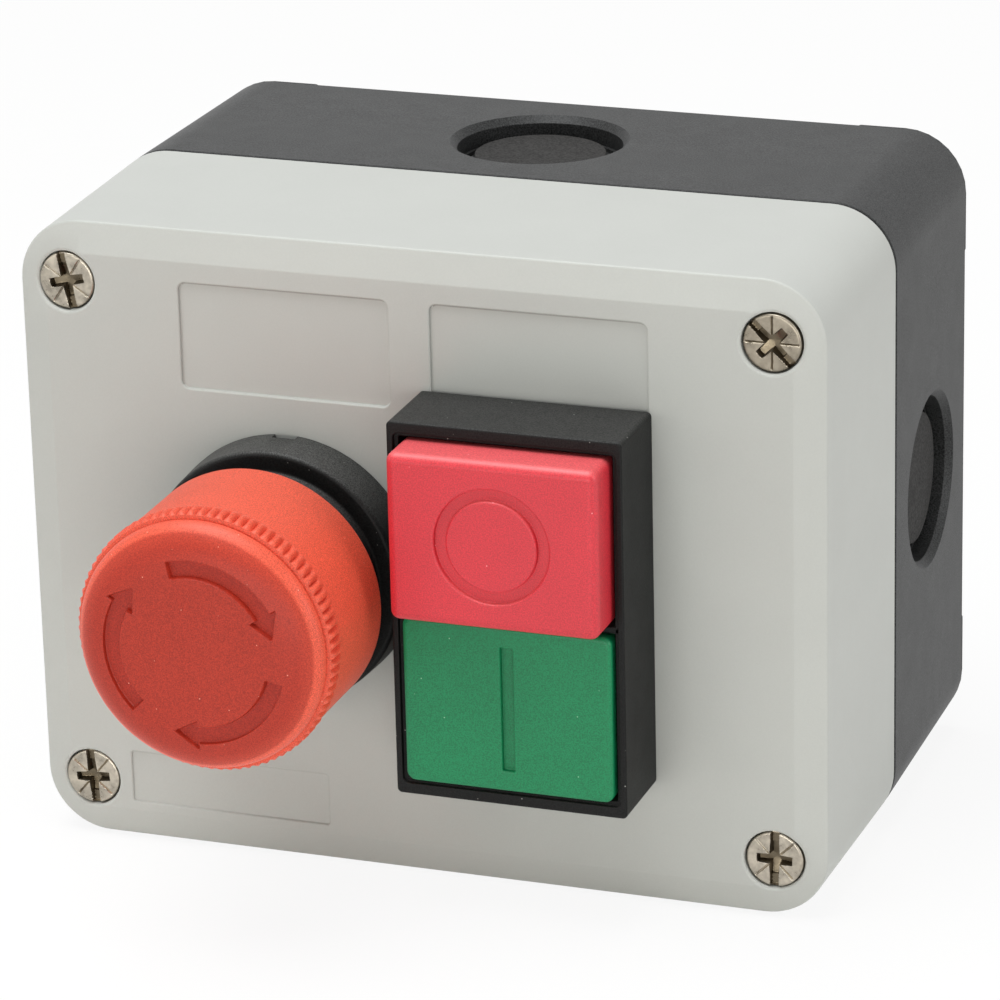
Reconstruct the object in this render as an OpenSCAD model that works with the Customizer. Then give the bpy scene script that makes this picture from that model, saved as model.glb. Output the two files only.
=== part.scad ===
// Emergency stop box: wall-mounted control station with a twist-to-release
// stop head, a twin stop and start button, and the contact blocks behind them.
// X is to the right, Y goes into the wall, Z is up. The origin is the centre
// of the wall-fixing holes, in the plane of the feet. Lengths are millimetres.

/* [Enclosure] */
// Width of the box
box_w = 105; // [102:0.5:125]
// Height of the box
box_h = 83.4; // [80:0.1:105]
// Depth from the wall to the front panel, feet included
box_d = 66.7; // [62:0.1:85]
// Depth of the front cover, from panel to parting line
cover_d = 31.1; // [24:0.1:36]
// Radius of the long corners
corner_r = 8.2; // [7:0.1:11]
// Thickness of the side walls
wall = 3; // [2.6:0.1:3.4]
// Thickness of the front panel
panel_t = 2.8; // [2.2:0.1:3.6]
// Thickness of the base floor
floor_t = 2.6; // [2:0.1:4]
// Width of the bevel round the panel
bevel_w = 3.9; // [2:0.1:5]
// Depth of the bevel round the panel
bevel_d = 1.35; // [0.6:0.05:2]
// Mould draft of the cover's side walls, at its front
draft_x = 0.2; // [0:0.05:0.8]
// Mould draft of the cover's top and bottom walls, at its front
draft_z = 0.5; // [0:0.05:0.9]
// Mould draft of the base's side walls, at its back
base_draft_x = 0.35; // [0:0.05:0.8]
// Mould draft of the base's top and bottom walls, at its back
base_draft_z = 0.3; // [0:0.05:0.9]
// Width of the shadow rebate at the parting line
rebate_w = 0.7; // [0.3:0.05:1]
// Depth of the shadow rebate at the parting line
rebate_d = 0.4; // [0.2:0.05:0.8]

/* [Seal groove] */
// Distance from the cover's outside to the seal groove
groove_inset = 1.2; // [1:0.05:1.4]
// Width of the seal groove
groove_w = 1.1; // [0.8:0.05:1.2]
// Depth of the seal groove
groove_h = 1.6; // [1:0.1:2.5]

/* [Feet and wall fixing] */
// Side of each corner foot in width
foot_x = 14.7; // [10:0.1:18]
// Side of each corner foot in height
foot_z = 16.2; // [10:0.1:18]
// Height of the feet
foot_h = 0.4; // [0.3:0.1:1.5]
// Distance between the wall-fixing holes in width
fix_pitch_x = 62; // [56:0.5:62]
// Distance between the wall-fixing holes in height
fix_pitch_z = 52; // [44:0.5:56]
// Diameter of the wall-fixing holes
fix_hole_d = 4.5; // [3.5:0.1:5.5]
// Diameter of the pad round each wall-fixing hole
fix_pad_d = 10; // [8:0.1:12]

/* [Knock-outs] */
// Bore that a knock-out leaves for a cable gland
knock_d = 20.5; // [16:0.1:21]
// Diameter of the recess in front of a knock-out
knock_well_d = 21.5; // [21:0.1:22.5]
// Diameter of the recess's outer chamfer
knock_rim_d = 23.3; // [22.5:0.1:25]
// Depth of the outer chamfer
knock_rim_h = 0.9; // [0.6:0.1:1.6]
// Diameter of the disc to be knocked out
knock_disc_d = 17.1; // [12:0.1:19]
// Depth of the disc below the wall's surface
knock_sink = 3; // [2:0.1:3.1]
// Depth of the ring groove that weakens the disc
knock_groove = 0.5; // [0.3:0.05:0.6]
// Thickness of the local boss inside the wall
knock_boss_t = 0.9; // [0.6:0.1:1.5]
// Diameter of the local boss inside the wall
knock_boss_d = 26; // [24:0.1:27]
// Distance of the knock-outs from the wall plane
knock_y = 17.8; // [17:0.1:18.6]

/* [Cover screws] */
// Distance of the cover screws from the left and right sides
screw_in_x = 6.8; // [6.5:0.1:7.6]
// Distance of the cover screws from the top and bottom sides
screw_in_z = 8.2; // [7.8:0.1:9]
// Diameter of the screw heads
screw_head_d = 7.3; // [6.5:0.1:7.6]
// Height of the screw heads
screw_head_h = 2.6; // [2:0.1:3.2]
// Depth of the heads below the panel
screw_sink = 0.35; // [0.1:0.05:0.6]
// Clearance round the heads
screw_head_gap = 0.18; // [0.1:0.02:0.3]
// Diameter of the screw shanks
screw_d = 4; // [3:0.1:4.4]
// Length of screw that enters the base
screw_grip = 9; // [6:0.5:14]
// Diameter of the screw posts in cover and base
post_d = 9.6; // [9.2:0.1:10.4]
// Width of the slots in the heads
screw_slot_w = 0.95; // [0.6:0.05:1.2]
// Depth of the long slot in each head
screw_slot_h = 0.9; // [0.5:0.1:1.2]
// Length of the cross recess in each head
screw_cross_l = 4.8; // [3:0.1:5]
// Depth of the cross recess in each head
screw_cross_h = 1.6; // [1.3:0.1:1.8]
// Wire thickness of the seal ring under each head
screw_seal_t = 1.1; // [0.8:0.1:1.4]

/* [Label recesses] */
// Depth of the two upper label recesses
label_h = 0.35; // [0.2:0.05:0.6]
// Depth of the lower label recess
label_low_h = 0.2; // [0.1:0.05:0.4]
// Corner radius of the label recesses
label_r = 1; // [0.5:0.1:2]
// Height of the upper recesses
label_z = 13.8; // [10:0.1:16]
// Middle of the upper recesses, up from the box centre
label_up = 27.8; // [26:0.1:29]
// Width of the left upper recess
label_left_w = 27.6; // [20:0.1:30]
// Middle of the left upper recess, left of the box centre
label_left_x = 16.8; // [15:0.1:18]
// Width of the right upper recess
label_right_w = 27.8; // [20:0.1:30]
// Middle of the right upper recess, right of the box centre
label_right_x = 16.3; // [15:0.1:18]
// Width of the lower recess
label_low_w = 27; // [20:0.1:30]
// Height of the lower recess
label_low_z = 7; // [5:0.1:9]
// Middle of the lower recess, left of the box centre
label_low_x = 26.5; // [24:0.1:28]
// Middle of the lower recess, down from the box centre
label_down = 32.6; // [31:0.1:33.4]

/* [Device places] */
// Distance of the stop head's axis left of the box centre
estop_left = 16.8; // [16:0.1:19]
// Distance of the twin head's axis right of the box centre
duo_right = 15.8; // [15.6:0.1:18]
// Height of both axes above the box centre
device_z = -0.7; // [-2:0.1:2]
// Diameter of the barrels
barrel_d = 22; // [20:0.1:23]
// Clearance round a barrel in the panel and in its nut
barrel_gap = 0.1; // [0.06:0.02:0.2]
// Length of a barrel behind the panel's front face
barrel_l = 14; // [13:0.5:16]
// Width of the lug that stops a barrel from turning
key_w = 3; // [2:0.1:4]
// Height of that lug above the barrel
key_h = 0.9; // [0.5:0.1:1.2]
// Thickness of the flat seals behind the heads
seal_t = 0.9; // [0.6:0.1:1]
// Outer diameter of the flat seals
seal_d = 28; // [26:0.1:28.6]

/* [Ring nuts and block holders] */
// Diameter of the ring nuts
nut_d = 29; // [27:0.1:30]
// Thickness of the ring nuts
nut_t = 4.5; // [3:0.1:5]
// Number of grip slots round a ring nut
nut_slots = 8; // [6:1:12]
// Width of the block holders
holder_w = 30; // [28:0.1:30.6]
// Height of the block holders
holder_z = 41; // [40:0.1:44]
// Thickness of the block holders
holder_t = 5.6; // [4:0.1:6]
// Depth that a holder's hook reaches along a block
hook_l = 4.2; // [3:0.1:5]
// Depth that a hook bites into a block
hook_bite = 0.6; // [0.4:0.05:0.8]
// Thickness of a hook
hook_t = 1.2; // [0.8:0.1:1.5]

/* [Stop head] */
// Travel of the stop head
estop_travel = 4.5; // [3:0.1:4.5]
// Angle that the head turns to release
estop_twist = 45; // [30:1:60]
// Diameter of the flange on the panel
flange_d = 33.6; // [32:0.1:34]
// Height of the flange in front of the panel
flange_h = 6.3; // [4:0.1:6.3]
// Chamfer at the front of the flange
flange_c = 0.7; // [0.3:0.1:1.2]
// Width of the notch on top of the flange
notch_w = 2.9; // [2:0.1:6]
// Depth of that notch
notch_h = 0.5; // [0.3:0.05:1]
// Length of the notch, from the panel
notch_l = 1.3; // [0.8:0.1:6]
// Diameter of the neck inside the head
neck_d = 28; // [26:0.1:28]
// Height of the neck in front of the panel
neck_h = 16; // [15:0.1:18]
// Bore of the neck and barrel
estop_bore = 17; // [16:0.1:18]
// Distance of the spring seat behind the panel's front face
web_u = 5; // [4:0.1:5]
// Thickness of the spring seat
web_t = 2; // [1.5:0.1:2.4]
// Diameter of the stem
stem_d = 8; // [7:0.1:8.4]
// Running clearance on radius round the stem
stem_gap = 0.06; // [0.03:0.01:0.1]
// Diameter of the stem's spring collar
stem_collar_d = 14.8; // [13.6:0.1:15]
// Thickness of the stem's spring collar
stem_collar_t = 1.8; // [1.2:0.1:2.2]

/* [Mushroom head] */
// Diameter of the head at its back rim
cap_d = 32.6; // [32.2:0.1:33.2]
// Distance of the back rim in front of the panel
cap_back = 11.2; // [11.2:0.1:13]
// Distance of the flat face in front of the panel
cap_front = 32.1; // [31:0.1:36]
// Wall of the head's skirt
cap_wall = 1.6; // [1.2:0.1:1.7]
// Thickness of the head's face
cap_face_t = 2.4; // [1.6:0.1:3]
// Diameter of the dome where it meets the knurled edge
dome_d = 31.8; // [31.2:0.1:32]
// Height of the rounded rim
dome_h = 3.3; // [2:0.1:3.6]
// Diameter of the flat part of the face
dome_flat_d = 20; // [16:0.1:24]
// Length of the knurled edge
knurl_l = 3.4; // [2:0.1:4]
// Height of the knurls above the skirt
knurl_h = 0.4; // [0.2:0.05:0.6]
// Number of knurls
knurl_n = 84; // [60:1:96]
// Diameter of the boss that holds the stem
boss_d = 14; // [12:0.1:15]
// Distance of the boss end in front of the panel
boss_end = 17; // [16.4:0.1:18]
// Depth of the recessed arrows
arrow_h = 0.8; // [0.3:0.05:1.2]
// Inner radius of the arrow bands
arrow_in = 9.6; // [8:0.1:9.8]
// Outer radius of the arrow bands
arrow_out = 11.7; // [10.6:0.1:12]
// Overhang of the arrow heads on each side
arrow_wing = 0.8; // [0.6:0.1:1.4]
// Angle where the first arrow starts, from the right
arrow_start = 105; // [90:1:120]
// Angle that an arrow band sweeps
arrow_sweep = 74; // [50:1:80]
// Angle that an arrow head sweeps
arrow_tip = 16; // [12:1:26]

/* [Twist sleeve] */
// Outer diameter of the sleeve
sleeve_d = 15.2; // [14.6:0.1:15.6]
// Inner diameter of the sleeve
sleeve_in = 8.6; // [8.6:0.1:11]
// Distance of the sleeve's end in front of the panel
sleeve_end = 7.4; // [7.2:0.1:8]
// Distance of the lugs' far side in front of the panel
lug_front = 11; // [10.6:0.1:11.4]
// Length of the lugs along the axis
lug_l = 2; // [1:0.1:2]
// Angle that each lug covers
lug_angle = 24; // [16:1:26]
// Depth that the lugs reach into the sleeve
lug_in = 1.1; // [0.6:0.1:1.6]
// Clearance round the lugs in their windows
lug_gap = 0.35; // [0.2:0.05:0.5]

/* [Twin head] */
// Width of the frame
frame_w = 29.8; // [29.6:0.1:30.6]
// Height of the frame
frame_z = 48.5; // [48.3:0.1:52]
// Height of the frame in front of the panel
frame_h = 11.7; // [11:0.1:12.4]
// Corner radius of the frame
frame_r = 0.6; // [0.4:0.1:1.5]
// Thickness of the frame's floor
frame_floor = 1.6; // [1.4:0.05:1.7]
// Bore of the frame and its barrel
duo_bore = 18.8; // [18.2:0.1:19.2]
// Width of a button
button_w = 26.6; // [24:0.1:26.8]
// Height of a button
button_z = 21.4; // [19:0.1:21.5]
// Gap between the two buttons
button_split = 1.3; // [1.2:0.05:1.6]
// Gap between button and frame
button_gap = 0.25; // [0.15:0.05:0.3]
// Corner radius of the buttons
button_r = 1.2; // [0.6:0.1:2]
// Rounding round the button faces
button_edge = 0.7; // [0.4:0.1:1.6]
// Wall of the buttons
button_wall = 1.4; // [1:0.1:1.8]
// Thickness of the button faces
button_face = 2.2; // [1.6:0.1:2.6]
// Travel of the buttons
button_travel = 3.5; // [2:0.1:3.5]
// Height of the stop button's face in front of the panel
stop_front = 16.8; // [15:0.1:19]
// Height of the start button's face in front of the panel
start_front = 12.4; // [12:0.1:13]
// Height of the buttons' back rim in front of the panel
button_back = 5.4; // [5.3:0.05:5.6]
// Width of the lip that keeps a button in the frame
lip_w = 0.5; // [0.3:0.05:0.5]
// Thickness of that lip
lip_t = 1.5; // [1:0.1:1.6]
// Width of the step inside the frame's rim
step_w = 0.55; // [0.3:0.05:0.7]
// Depth of that step
step_h = 0.6; // [0.3:0.05:1]
// Outer diameter of the ring mark
ring_d = 14.7; // [12:0.1:16]
// Width of the marks' grooves
mark_w = 1.5; // [1:0.05:2]
// Depth of the marks' grooves
mark_h = 0.5; // [0.2:0.05:0.6]
// Length of the bar mark
bar_l = 16.2; // [12:0.1:17]

/* [Button legs] */
// Half distance between the two legs
leg_x = 5.2; // [5.1:0.05:5.3]
// Width of a leg
leg_w = 3.8; // [2.4:0.1:4]
// Height of a leg
leg_z = 3.2; // [2:0.1:3.3]
// Distance from the middle of the head to a leg
leg_from = 1; // [0.8:0.05:1.1]

/* [Contact blocks] */
// Width of a contact block
block_w = 9.8; // [9:0.1:10]
// Height of a contact block
block_z = 38; // [36:0.1:39]
// Depth of a contact block
block_d = 26; // [25:0.1:28]
// Wall of a contact block
block_wall = 1.2; // [1:0.1:1.4]
// Thickness of a block's side plate
plate_t = 1; // [0.8:0.1:1.2]
// Height of the plunger in front of its block
pad_l = 4.55; // [4.55:0.05:4.8]
// Width of the plunger
pad_w = 5.6; // [5:0.1:5.8]
// Height of the plunger
pad_z = 8; // [7:0.1:8.2]
// Clearance round the plunger
pad_gap = 0.2; // [0.1:0.05:0.3]
// Gap between a pusher and the plunger that it works
push_gap = 0.05; // [0.02:0.01:0.1]
// Depth of the plunger's end inside the block
plunger_l = 17.6; // [16:0.1:18]
// Height of the plunger inside the block
plunger_z = 6; // [4:0.1:7]
// Length of the moving bridge
bridge_l = 19; // [17:0.1:20]
// Width of the moving bridge
bridge_w = 3; // [2:0.1:3.2]
// Thickness of the metal strips
strip_t = 0.8; // [0.5:0.05:1]
// Diameter of the contact rivets
rivet_d = 2.6; // [2:0.1:3]
// Height of the contact rivets
rivet_h = 0.5; // [0.3:0.05:0.8]
// Distance of the rivets from the block's middle
rivet_z = 7.6; // [7:0.1:8]
// Depth of the closed contacts' strips in their block
strip_u = 9; // [8:0.1:9.5]
// Width of the metal strips
strip_w = 4; // [3:0.1:5]
// Gap that a closing contact keeps when fully pressed
contact_gap = 0.05; // [0.02:0.01:0.1]
// Distance of the terminals from the block's middle
terminal_z = 14.4; // [13.6:0.1:14.6]
// Diameter of the terminal screw heads
terminal_head_d = 5.6; // [4.8:0.1:5.8]
// Height of the terminal screw heads
terminal_head_h = 2.2; // [1.6:0.1:2.6]
// Diameter of the terminal screw shanks
terminal_d = 3.2; // [2.5:0.1:3.5]
// Length of the terminal screw shanks
terminal_l = 6; // [4:0.1:7]
// Thickness of the terminal clamps
clamp_t = 1; // [0.6:0.1:1.4]
// Depth of the terminal strips in their block
terminal_u = 20.6; // [20:0.1:21]

/* [Springs] */
// Wire of the stop head's spring
estop_wire = 0.9; // [0.6:0.05:0.95]
// Mean diameter of the stop head's spring
estop_coil_d = 12.4; // [12:0.1:12.8]
// Wire of the button springs
button_wire = 0.6; // [0.4:0.05:0.7]
// Mean diameter of the button springs
button_coil_d = 6.2; // [5.6:0.1:7]
// Wire of the contact springs
contact_wire = 0.45; // [0.3:0.05:0.5]
// Mean diameter of the contact springs
contact_coil_d = 4; // [3.6:0.1:4.4]

/* [Hidden] */
$fn = 64;

// A thin slice, and an overshoot that lets a cut pass a face
eps = 0.01;
over = 1;
hull_fn = 48;
ring_fn = 24;

// Gaps: between a piece and its snug seat, round a seal in its groove, on the
// diameter of a plain bore that stands for a thread, and of a screw's way through
snug = 0.02;
seal_slack = 0.05;
thread_gap = 0.1;
screw_clear = 0.5;
// Share of the bevel's width that the corner radius loses across it
bevel_round = 0.7;
// Room beyond a screw's tip, and between a screw and its seal ring
tip_room = 2;
ring_gap = 0.2;
// Angle of each cover screw's slot, as they happen to stand
screw_turns = [-12, -45, -5, 1];
// Grip slot of a ring nut
nut_slot = 2;
// Hooks of the block holders
holder_r = 2;
hook_w = 6;
hook_gap = 0.1;
nib_t = 1;
// Taper of the flange's edge, and how deep lugs and keys are rooted
flange_draft = 0.2;
lug_root = 0.3;
key_root = 0.5;
// Chamfer of the stem's ends, its gap to the head's face and the sleeve's to its collar
stem_c = 0.5;
stem_end_gap = 0.3;
sleeve_end_gap = 0.6;
// Seal ring round the stem
stem_seal_t = 1.2;
stem_seal_gap = 0.12;
// Extra thickness of the head's face between boss and skirt, and its back chamfer
cap_rib = 1.5;
cap_c = 0.4;
knurl_root = 0.1;
// Gap behind a button's lip, and the stud that centres its spring
lip_gap = 0.2;
stud_d = 3.6;
stud_l = 2;
// How far the button springs stand beyond the middle of their buttons
coil_off = 1.8;
// Turns of the springs: stop head, stop button, start button, contact block
estop_turns = 5;
stop_turns = 7;
start_turns = 5;
contact_turns = 4;
// Flat pieces that the rim of the head and the arcs of its arrows are made of
dome_steps = 12;
arc_steps = 10;
// Peg that centres a contact spring
peg_d = 3;
peg_l = 1.2;
// Ledges inside a block: gap to the bridge's end, and room for the screws' shanks
ledge_gap = 1;
shank_room = 4;
bridge_gap = 0.05;
strip_tail = 1.6;
strip_gap = 0.1;
// Terminal clamps, the slots of their screws and the screwdriver's way in
clamp_w = 5.6;
clamp_z = 4.8;
terminal_slot_w = 0.8;
terminal_slot_h = 0.9;
driver_gap = 0.6;

light_grey = [0.80, 0.80, 0.78];
dark_grey = [0.17, 0.17, 0.18];
black = [0.09, 0.09, 0.10];
signal_red = [0.86, 0.26, 0.18];
button_red = [0.86, 0.24, 0.30];
button_green = [0.14, 0.54, 0.34];
nickel = [0.72, 0.69, 0.62];
steel = [0.66, 0.67, 0.69];
copper = [0.78, 0.52, 0.34];
rubber = [0.06, 0.06, 0.06];
ivory = [0.86, 0.84, 0.76];

panel_y = -box_d;
part_y = panel_y + cover_d;
base_back_u = box_d - foot_h;
floor_u = base_back_u - floor_t;
estop_x = -estop_left;
duo_x = duo_right;
barrel_r = barrel_d / 2;
block_u = barrel_l;
screw_x = box_w / 2 - screw_in_x;
screw_z = box_h / 2 - screw_in_z;
post_r = post_d / 2;
head_r = screw_head_d / 2;
// Floor of the screw recesses, which the seal ring lies on
recess_u = screw_sink + screw_head_h + screw_seal_t;
seal_ring_r = screw_d / 2 + screw_seal_t / 2 + ring_gap;
// Place where the moving parts meet the contact blocks' plungers
push_u = block_u - pad_l - push_gap;
knock_edge = box_d - knock_y;

// Geometry helpers

// Children along Y: their own Z axis runs into the wall from depth u
module at(x, u, z) translate([x, panel_y + u, z]) rotate([-90, 0, 0]) children();

// A flat outline in X and Z, from depth u and t thick
module sheet(x, u, z, t)
  translate([x, panel_y + u + t, z]) rotate([90, 0, 0]) linear_extrude(t) children();

// A box between two values of x, depth and z
module brick(x0, x1, u0, u1, z0, z1)
  translate([x0, panel_y + u0, z0]) cube([x1 - x0, u1 - u0, z1 - z0]);

module rounded(w, h, r) {
  square([w - 2 * r, h], center = true);
  square([w, h - 2 * r], center = true);
  for (sx = [-1, 1], sz = [-1, 1]) translate([sx * (w / 2 - r), sz * (h / 2 - r)]) circle(r);
}

// Four thin discs at the corners of a rounded rectangle, to be hulled
module corners(w, h, r, u)
  for (sx = [-1, 1], sz = [-1, 1])
    at(sx * (w / 2 - r), u, sz * (h / 2 - r)) cylinder(r = r, h = eps, $fn = hull_fn);

// Rounded rectangular ring, w by h outside and t wide
module ring_outline(w, h, r, t) difference() {
  rounded(w, h, r);
  rounded(w - 2 * t, h - 2 * t, r - t);
}

module at_screws(u)
  for (sx = [-1, 1], sz = [-1, 1])
    at(sx * screw_x, u, sz * screw_z) children();

// Polygon points of an arc
function arc(r, a0, a1, n) =
  [for (i = [0:n]) let (a = a0 + (a1 - a0) * i / n) [r * cos(a), r * sin(a)]];

// Height along a spring: closed coils at both ends, open coils between
function coil_rise(t, turns, len, wire) =
  let (dead = 0.8, low = wire * dead, live = turns - 2 * dead)
  t < dead ? t * wire
  : t > turns - dead ? len - wire - (turns - t) * wire
  : low + (t - dead) * (len - wire - 2 * low) / live;

// Round wire wound on a cylinder along Z, from 0 to len
module coil(mean_d, wire, len, turns, steps = 10, sides = 5) {
  n = turns * steps;
  points = [for (i = [0:n], k = [0:sides - 1])
    let (a = 360 * i / steps, b = 360 * k / sides, r = (mean_d + wire * cos(b)) / 2)
    [r * cos(a), r * sin(a),
     wire / 2 + coil_rise(i / steps, turns, len, wire) + wire * sin(b) / 2]];
  walls = [for (i = [0:n - 1], k = [0:sides - 1])
    let (m = (k + 1) % sides)
    [i * sides + k, i * sides + m, (i + 1) * sides + m, (i + 1) * sides + k]];
  first = [for (k = [sides - 1:-1:0]) k];
  last = [for (k = [0:sides - 1]) n * sides + k];
  polyhedron(points, concat([first], walls, [last]), convexity = 8);
}

// Enclosure

module cover_body() difference() {
  hull() {
    corners(box_w, box_h, corner_r, cover_d - eps);
    corners(box_w - 2 * draft_x, box_h - 2 * draft_z, corner_r, bevel_d);
    corners(box_w - 2 * draft_x - 2 * bevel_w, box_h - 2 * draft_z - 2 * bevel_w,
      corner_r - bevel_round * bevel_w, 0);
  }
  hull() {
    corners(box_w - 2 * wall, box_h - 2 * wall, corner_r - wall, cover_d + over);
    corners(box_w - 2 * draft_x - 2 * wall, box_h - 2 * draft_z - 2 * wall, corner_r - wall, panel_t);
  }
}

module label(x, z, w, h, depth) sheet(x, -over, z, over + depth) rounded(w, h, label_r);

module barrel_hole(x) {
  at(x, -over, device_z) cylinder(d = barrel_d + 2 * barrel_gap, h = panel_t + 2 * over);
  brick(x - key_w / 2 - barrel_gap, x + key_w / 2 + barrel_gap, -over, panel_t + over,
    device_z, device_z + barrel_r + key_h + barrel_gap);
}

module cover() color(light_grey) difference() {
  union() {
    cover_body();
    at_screws(panel_t - eps) cylinder(r = post_r, h = cover_d - panel_t + eps);
  }
  sheet(0, cover_d - groove_h, 0, groove_h + over)
    ring_outline(box_w - 2 * groove_inset, box_h - 2 * groove_inset, corner_r - groove_inset, groove_w);
  at_screws(-over) cylinder(r = head_r + screw_head_gap, h = recess_u + over);
  at_screws(-over) cylinder(d = screw_d + screw_clear, h = cover_d + 2 * over);
  barrel_hole(estop_x);
  barrel_hole(duo_x);
  label(-label_left_x, label_up, label_left_w, label_z, label_h);
  label(label_right_x, label_up, label_right_w, label_z, label_h);
  label(-label_low_x, -label_down, label_low_w, label_low_z, label_low_h);
}

module cover_gasket() color(rubber)
  sheet(0, cover_d - groove_h, 0, groove_h)
    ring_outline(box_w - 2 * groove_inset - 2 * seal_slack, box_h - 2 * groove_inset - 2 * seal_slack,
      corner_r - groove_inset - seal_slack, groove_w - 2 * seal_slack);

// Outside half sizes of the base at a distance y from the wall plane
base_run = floor_u + floor_t - cover_d;
function base_x(y) = box_w / 2 - base_draft_x * (box_d - cover_d - y) / base_run;
function base_z(y) = box_h / 2 - base_draft_z * (box_d - cover_d - y) / base_run;

// A child profile turned about a wall's normal at each of the four knock-outs
module at_knocks() {
  for (s = [0, 180]) rotate([0, s, 0]) translate([0, -knock_y, base_z(knock_y)]) children();
  for (s = [90, 270]) rotate([0, s, 0]) translate([0, -knock_y, base_x(knock_y)]) children();
}

module knock_well() {
  translate([0, 0, -knock_sink]) cylinder(d = knock_well_d, h = knock_sink + over);
  translate([0, 0, -knock_rim_h]) cylinder(d1 = knock_well_d, d2 = knock_rim_d, h = knock_rim_h);
  cylinder(d = knock_rim_d, h = over);
  translate([0, 0, -knock_sink - knock_groove]) difference() {
    cylinder(d = knock_d, h = knock_groove + eps);
    translate([0, 0, -over]) cylinder(d = knock_disc_d, h = knock_groove + 2 * over);
  }
}

module foot_outline() {
  w = box_w - 2 * base_draft_x;
  h = box_h - 2 * base_draft_z;
  intersection() {
    rounded(w, h, corner_r);
    for (sx = [-1, 1], sz = [-1, 1])
      translate([sx * (w - foot_x) / 2, sz * (h - foot_z) / 2]) square([foot_x, foot_z], center = true);
  }
}

module at_fixings(u)
  for (sx = [-1, 1], sz = [-1, 1])
    at(sx * fix_pitch_x / 2, u, sz * fix_pitch_z / 2) children();

module base_shell() difference() {
  hull() {
    corners(box_w, box_h, corner_r, cover_d);
    corners(box_w - 2 * base_draft_x, box_h - 2 * base_draft_z, corner_r, base_back_u - eps);
  }
  hull() {
    corners(box_w - 2 * wall, box_h - 2 * wall, corner_r - wall, cover_d - over);
    corners(box_w - 2 * base_draft_x - 2 * wall, box_h - 2 * base_draft_z - 2 * wall,
      corner_r - wall, floor_u - eps);
  }
}

module base() color(dark_grey) difference() {
  union() {
    base_shell();
    sheet(0, base_back_u - eps, 0, foot_h + eps) foot_outline();
    at_fixings(floor_u) cylinder(d = fix_pad_d, h = box_d - floor_u);
    at_screws(cover_d) cylinder(r = post_r, h = floor_u - cover_d + eps);
    at_knocks() translate([0, 0, -wall - knock_boss_t])
      cylinder(d = knock_boss_d, h = knock_boss_t + wall / 2);
  }
  at_knocks() knock_well();
  at_fixings(floor_u - over) cylinder(d = fix_hole_d, h = box_d - floor_u + 2 * over);
  at_screws(cover_d - over) cylinder(d = screw_d + thread_gap, h = screw_grip + tip_room + over);
  sheet(0, cover_d - over, 0, rebate_d + over)
    ring_outline(box_w + 2 * over, box_h + 2 * over, corner_r + over, rebate_w + over);
}

// A slot through a screw's head, centred, turned by a
module slot(a, len, depth) rotate([0, 0, a])
  translate([-screw_slot_w / 2, -len / 2, -over]) cube([screw_slot_w, len, depth + over]);

// Cover screws for a flat or a cross driver: a long slot, and a deeper cross in its middle
module cover_screw(turn) difference() {
  union() {
    cylinder(r = head_r, h = screw_head_h);
    cylinder(d = screw_d, h = cover_d + screw_grip - screw_sink);
  }
  slot(turn, 2 * (head_r + over), screw_slot_h);
  for (a = [0, 90]) slot(turn + a, screw_cross_l, screw_cross_h);
}

module cover_screws() color(nickel)
  for (i = [0:3])
    at((i % 2 == 0 ? -1 : 1) * screw_x, screw_sink, (i < 2 ? 1 : -1) * screw_z)
      cover_screw(screw_turns[i]);

module cover_screw_seals() color(rubber)
  at_screws(recess_u - screw_seal_t / 2)
    rotate_extrude() translate([seal_ring_r, 0]) circle(d = screw_seal_t - 2 * snug, $fn = ring_fn);

// Parts that both heads have

module panel_gasket(x) color(rubber) at(x, -seal_t, device_z) difference() {
  cylinder(d = seal_d, h = seal_t);
  translate([0, 0, -over]) cylinder(d = barrel_d + 2 * barrel_gap, h = seal_t + 2 * over);
}

module ring_nut(x) color(black) at(x, panel_t, device_z) difference() {
  cylinder(d = nut_d, h = nut_t);
  translate([0, 0, -over]) cylinder(d = barrel_d + 2 * barrel_gap, h = nut_t + 2 * over);
  for (i = [0:nut_slots - 1]) rotate([0, 0, 360 * i / nut_slots])
    translate([(nut_d - nut_slot) / 2, -nut_slot / 2, nut_slot / 2]) cube([nut_slot, nut_slot, nut_t]);
}

// Hooks above and below a contact block at x
module hooks(x) for (s = [-1, 1]) {
  z_in = block_z / 2 + hook_gap;
  half = hook_w / 2;
  z0 = min(s * z_in, s * (z_in + hook_t));
  z1 = min(s * (z_in - hook_bite), s * (z_in + hook_t));
  brick(x - half, x + half, block_u - eps, block_u + hook_l, device_z + z0, device_z + z0 + hook_t);
  brick(x - half, x + half, block_u + hook_l - nib_t, block_u + hook_l, device_z + z1,
    device_z + z1 + hook_t + hook_bite);
}

module block_holder(x, block_xs) color(black) {
  difference() {
    sheet(x, block_u - holder_t, device_z, holder_t) rounded(holder_w, holder_z, holder_r);
    at(x, block_u - holder_t - over, device_z)
      cylinder(d = barrel_d + 2 * barrel_gap, h = holder_t + 2 * over);
  }
  for (bx = block_xs) hooks(bx);
}

// Stop head

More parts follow.
